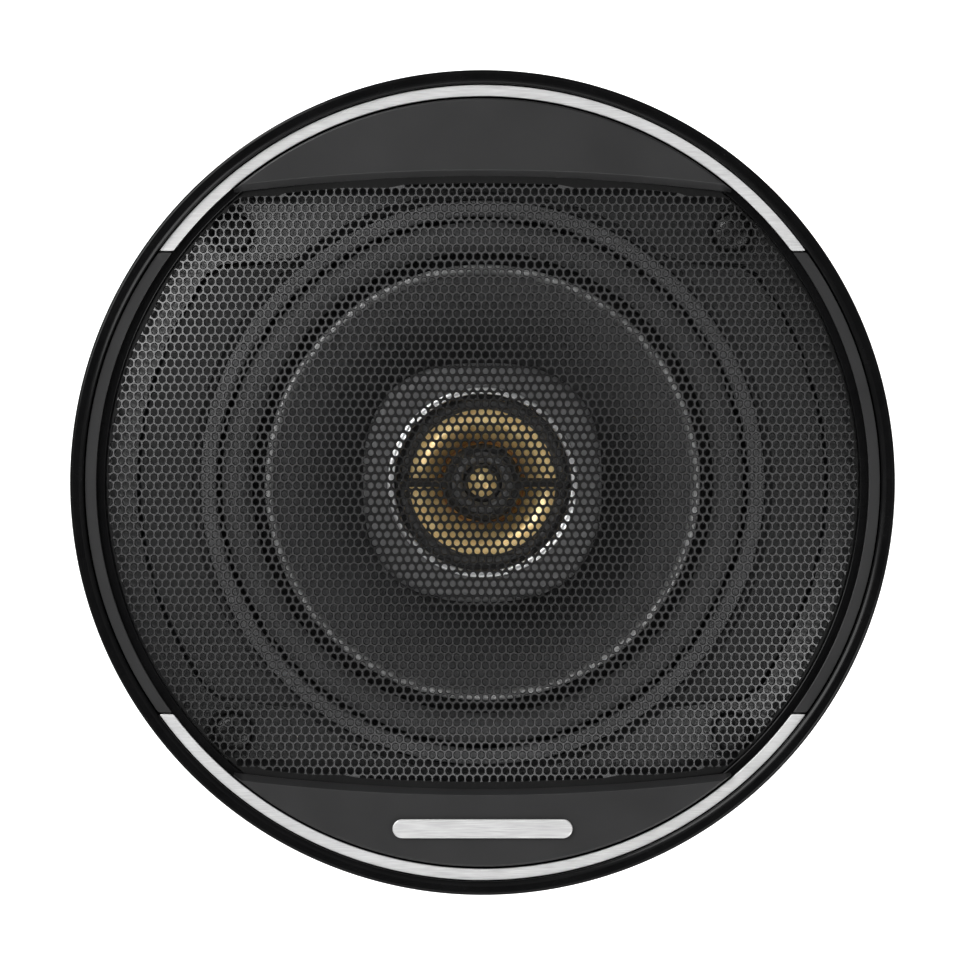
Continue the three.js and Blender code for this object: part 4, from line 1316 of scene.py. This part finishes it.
def rear_shell():
    path = [(2.6, -6.8), (9.8, -6.8), (11.4, -6.6), (12.8, -5.5), (19.2, -0.6), (20.4, 0.1), (21.0, 0.55)]
    shell = turned("pod_rear_shell_fine", ribbon(smooth(path, 4), 1.1), MIDDLE)
    rim = slab("tool", [pod_loop(0, MIDDLE), circle(MIDDLE, 19.9)], 0, 1.2)
    placed(carved(shell, [rim], "UNION"), "pod_rear_shell")


def post():
    bore, outer = 2.2, 5.2
    low, high = -27.7, -7.5
    wall = [(outer, a) for a in (low, -26.6, -25.6, -9.6, high)]
    outline = [(bore, low), *wall, (bore, high)]
    turned_piece("pod_post", rounded(outline, 0.3), SMALL)


def chrome_ring():
    """A ring with a half-round front edge."""
    back, top, inner, half, height = rear("chrome_ring"), front("chrome_ring"), 16.7, 0.65, 0.35
    turns = [math.pi * k / 12 for k in range(13)]
    edge = [(inner + half - half * math.cos(t), top - height + height * math.sin(t)) for t in turns]
    outline = [*reversed(edge), (inner, back), (CHROME_R, back)]
    turned_piece("chrome_ring", outline, LARGE)


bezel()
rear_shell()
post()
chrome_ring()


# ---- midrange ----
def midrange():
    frame_path = [(9.2, 0), (10.6, 0), (15.0, 3.7), (15.9, 4.1), (16.9, 4.15), (17.2, 4.5), (17.2, 7)]
    turned_piece("midrange_frame", ribbon(frame_path, 0.9), MEDIUM)
    cone = smooth([(8.2, 1.6), (9.5, 3.2), (11, 4.25), (12.5, 4.85), (14.1, 5)])
    turned_piece("midrange_cone", ribbon(cone, 0.45), MIDDLE)
    cap = smooth([(0, 2.9), (3.6, 2.6), (7.2, 1.6)])
    turned_piece("midrange_dust_cap", ribbon(cap, 0.4), SMALL)
    roll = [(14.0, 5.5), (14.15, 5.45), *half_roll(14.3, 16, 5.4, 1, 12), (16.6, 5.3)]
    roll_piece = turned("midrange_surround_fine", ribbon(roll, 0.28), MIDDLE)
    edge_blend(roll_piece, "midrange_surround", "rubber")


midrange()


# ---- tweeter ----
def bridge():
    """A ring round the tweeter, and an arm on either side of it."""
    bottom, top, ring_r, seat_r = 7.7, 8.9, 7.0, 5.95
    half, start, end = 0.85, 6.4, 16.25
    outline = [
        (seat_r, bottom - 0.6), (ring_r, bottom - 0.6), (ring_r, top - 0.25), (ring_r - 0.3, top),
        (seat_r, top),
    ]
    ring = turned("tweeter_bridge_fine", rounded(outline, 0.18), MEDIUM)
    arm = [(start, -half * 1.5), (8.2, -half), (end, -half), (end, half), (8.2, half), (start, half * 1.5)]
    arms = []
    for side in (1, -1):
        loop = rounded([(side * x, z) for x, z in arm], 0.4)
        arms.append(slab("arm", [loop], bottom, top - 0.05, 0.22))
    placed(joined("tweeter_bridge_fine", [ring, *arms]), "tweeter_bridge", look="deep_black")


def tweeter():
    cup = [
        (0, 4.2), (5.8, 4.2), (5.8, 9.0), (5.55, 9.35), (5.25, 9.5), (5.05, 9.85), (4.6, 9.95), (4.2, 9.8),
        (3.9, 9.2), (3.75, 8.8), (3.75, 5.2), (0, 5.2),
    ]
    turned_piece("tweeter_housing", rounded(cup, 0.12), MEDIUM, look="gasket")
    dome = smooth([(0, 9.7), (1.2, 9.45), (2.2, 8.8), (2.7, 8.35)])
    turned_piece("tweeter_dome", ribbon(dome, 0.16), SMALL)
    roll = [(2.8, 8.38), *half_roll(2.9, 3.5, 8.4, 0.25, 8), (3.68, 8.38)]
    roll_piece = turned("tweeter_surround_fine", ribbon(roll, 0.12), SMALL)
    edge_blend(roll_piece, "tweeter_surround", "deep_black")


bridge()
tweeter()


# ---- woofer's moving parts ----
def woofer_cone():
    points = [(CONE_NECK_R, -15.2), (22, -10.8), (31, -5.6), (36, -2.15), (39.4, 0.1), (41, 0.6), (43, 0.7)]
    turned_piece("woofer_cone", ribbon(smooth(points, 7), 0.7))
    edge = [(39.5, 0.75), (40.6, 1.1), (41.45, 1.2), (41.4, 1.9), (41.0, 2.3), (40.4, 2.4), (39.9, 1.9)]
    turned_piece("cone_edge_ring", rounded(edge, 0.3, 4), look="satin_edge")


def woofer_surround():
    """A half roll. The flat rims that are glued down beside it are painted darker: painted shade in the
    grooves at its edges.
    """
    inner, outer = 43.6, 49.6
    path = [(41.8, 1.5), (43.0, 1.45), *half_roll(inner, outer, 1.5, 3.7, 24), (50.2, 1.45), (53.6, 1.5)]
    piece = turned("surround_fine", ribbon(path, 0.5))
    edge_blend(piece, "surround")
    # painted shade on the flat rims beside the roll
    piece.data.materials.append(LOOKS["painted_shade_black"])
    for face in piece.data.polygons:
        radius = math.hypot(face.center.x, face.center.z) / MM
        face.material_index = int(not inner + 0.15 < radius < outer - 0.1)


def spider():
    """The corrugated cloth that centres the coil."""
    level, waves, height, steps = -16.3, 5, 0.55, 90
    start, width = 14.2, 15.8
    path = [(13.1, level), (13.8, level)]
    for share in [k / steps for k in range(steps + 1)]:
        fade = height * max(0, math.sin(math.pi * share)) ** 0.5
        path.append((start + width * share, level + fade + fade * math.sin(2 * math.pi * waves * share)))
    path += [(30.8, level), (34, level)]
    edge_blend(turned("spider_fine", ribbon(path, 0.35), MIDDLE), "spider")


def glue_ring():
    """The bead of glue where the cone, the spider and the coil former meet."""
    bead = turned("voice_coil_glue", circle(16, 0.45, (13.25, -14.55)), MEDIUM)
    placed(bead, body="woofer_moving", slot="rubber")


woofer_cone()
woofer_surround()
spider()
glue_ring()


# ---- terminals, crossover and wiring ----
BOARD = (37, 50, 14.5)  # inner edge, outer edge and half width
BOARD_FRONT = front("terminal_board")
BOARD_BACK = rear("terminal_board")
BLADE_FRONT = front("terminal_positive")
BLADE_BACK = rear("terminal_positive")
BLADE_Z = 8.5


def terminals():
    """The board with two blades, the wider one positive, and a rivet through each."""
    x0, x1, half = BOARD
    loop = rounded([(x0, -half), (x1, -half), (x1, half), (x0, half)], 1.2, 4)
    holes = [circle(24, 0.8, (x1 - 2, side * 3.2)) for side in (1, -1)]
    placed(slab("terminal_board_fine", [loop, *holes], BOARD_BACK, BOARD_FRONT, 0.12, 2), "terminal_board")
    foot, start, neck, shoulder, tip, chamfer = 3.6, 43, 47.1, 55.8, 57, 1.1
    rivet = [(0, -0.7), (1.1, -0.6), (1.6, -0.15), (1.6, 0.05), (0, 0.05)]
    studs = []
    for side, wide, node in ((1, 6.3, "terminal_positive"), (-1, 4.8, "terminal_negative")):
        z, w = side * BLADE_Z, wide / 2
        outline = [
            (start, z - foot), (neck, z - foot), (neck, z - w), (shoulder, z - w), (tip, z - w + chamfer),
            (tip, z + w - chamfer), (shoulder, z + w), (neck, z + w), (neck, z + foot), (start, z + foot),
        ]
        loops = [rounded(outline, 0.35), circle(24, 0.9, (53.5, z))]
        placed(slab(f"{node}_fine", loops, BLADE_BACK, BLADE_FRONT, 0.14, 2), node)
        stud = turned("stud", rounded([(r, BLADE_BACK + a) for r, a in rivet], 0.15), 32)
        studs.append(moved(stud, 45.2, 0, z))
    placed(joined("terminal_rivets", studs), body="chassis", slot="terminal_brass")


def capacitors():
    """Two cans lying along Z, each with its leads bent into the board."""
    leads = []
    for node in ("crossover_capacitor_midrange", "crossover_capacitor_tweeter"):
        low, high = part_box(node)
        radius = (high.y - low.y) / 2 / MM
        h = (high.z - low.z) / 2 / MM
        middle = (low + high) / 2
        outline = [
            (0, -h + 0.5), (radius - 1.2, -h + 0.5), (radius - 1.0, -h), (radius - 0.2, -h),
            (radius, -h + 0.4), (radius, h - 2.4), (radius - 0.28, h - 2.0), (radius, h - 1.6),
            (radius, h - 0.3), (radius - 0.3, h), (radius - 1.0, h), (radius - 1.2, h - 0.4), (0, h - 0.4),
        ]
        can = turned(f"{node}_fine", rounded(outline, 0.15), 72)
        can.data.transform(Matrix.Translation(middle) @ Matrix.Rotation(math.pi / 2, 4, "X"))
        placed(can, node)
        x, a = middle.x / MM, -middle.y / MM
        for end in (1, -1):
            z = middle.z / MM + end * (h - 0.2)
            if abs(z) > 5:
                bent = z + end * 0.75
                straight = [(x, a, z - end * 0.4), (x, a, z + end * 0.3)]
                line = smooth([*straight, (x, a + 1.2, bent), (x, a + radius + 1, bent)], 4)
                leads.append(tube("lead", line, 0.3, 10))
    placed(joined("capacitor_leads", leads), body="chassis", slot="zinc_steel")


def feed_cable():
    """The two cores of the cable from the crossover through the pole to the pod."""
    run = BACK_FACE + 1.35
    side = MAGNET_R + 2.6
    route = [
        (0, -7.0, 0), (0, -16, 0), (0, -28, 0), (0, -40, 0), (0, BACK_FACE + 5.6, 0),
        (1.3, BACK_FACE + 2.5, 0), (5, run, 0), (14, run, 0), (24, run, 0), (34.6, run, 0),
        (side - 1.4, run + 1.6, 0), (side, run + 6, 0), (side, -36, 0), (side, -27, 0),
        (side, BOARD_BACK - 0.4, 0),
    ]
    cores = []
    for z in (0.55, -0.55):
        line = [p + Vector((0, 0, z)) for p in smooth(route, 7)]
        cores.append(tube("core", line, 0.6, 14))
    placed(joined("pod_feed_cable_fine", cores), "pod_feed_cable")


def tinsel_leads():
    """Two leads, each of three twisted strands, from the terminals to the woofer's coil."""
    route = [
        (40.5, -16, 10.6), (38.6, -13.6, 10.5), (34.5, -12, 10), (29, -12.4, 9), (23.4, -13.4, 7),
        (17.2, -13.95, 5),
    ]
    twist, offset, thickness = 0.75, 0.24, 0.22
    for name, side in (("positive", 1), ("negative", -1)):
        line = smooth([(x, a, side * z) for x, a, z in route], 12)
        strands = []
        for strand in range(3):
            turns = [twist * i + 2 * math.pi * strand / 3 for i in range(len(line))]
            twisted = [p + Vector((0, math.cos(t), math.sin(t))) * offset for p, t in zip(line, turns)]
            strands.append(tube("strand", twisted, thickness, 8))
        lead = joined(f"tinsel_lead_{name}_fine", strands)
        lead.data.materials.append(LOOKS["terminal_brass"])
        shaded(lead)
        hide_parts(f"tinsel_lead_{name}")
        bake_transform(lead)


terminals()
capacitors()
feed_cable()
tinsel_leads()

# ---- CAD pieces that stay as they are ----
for node, piece in frame["nodes"].items():
    if not piece.hide_render:
        piece.data.materials.clear()
        piece.data.materials.append(LOOKS[SLOT_OF[node]])
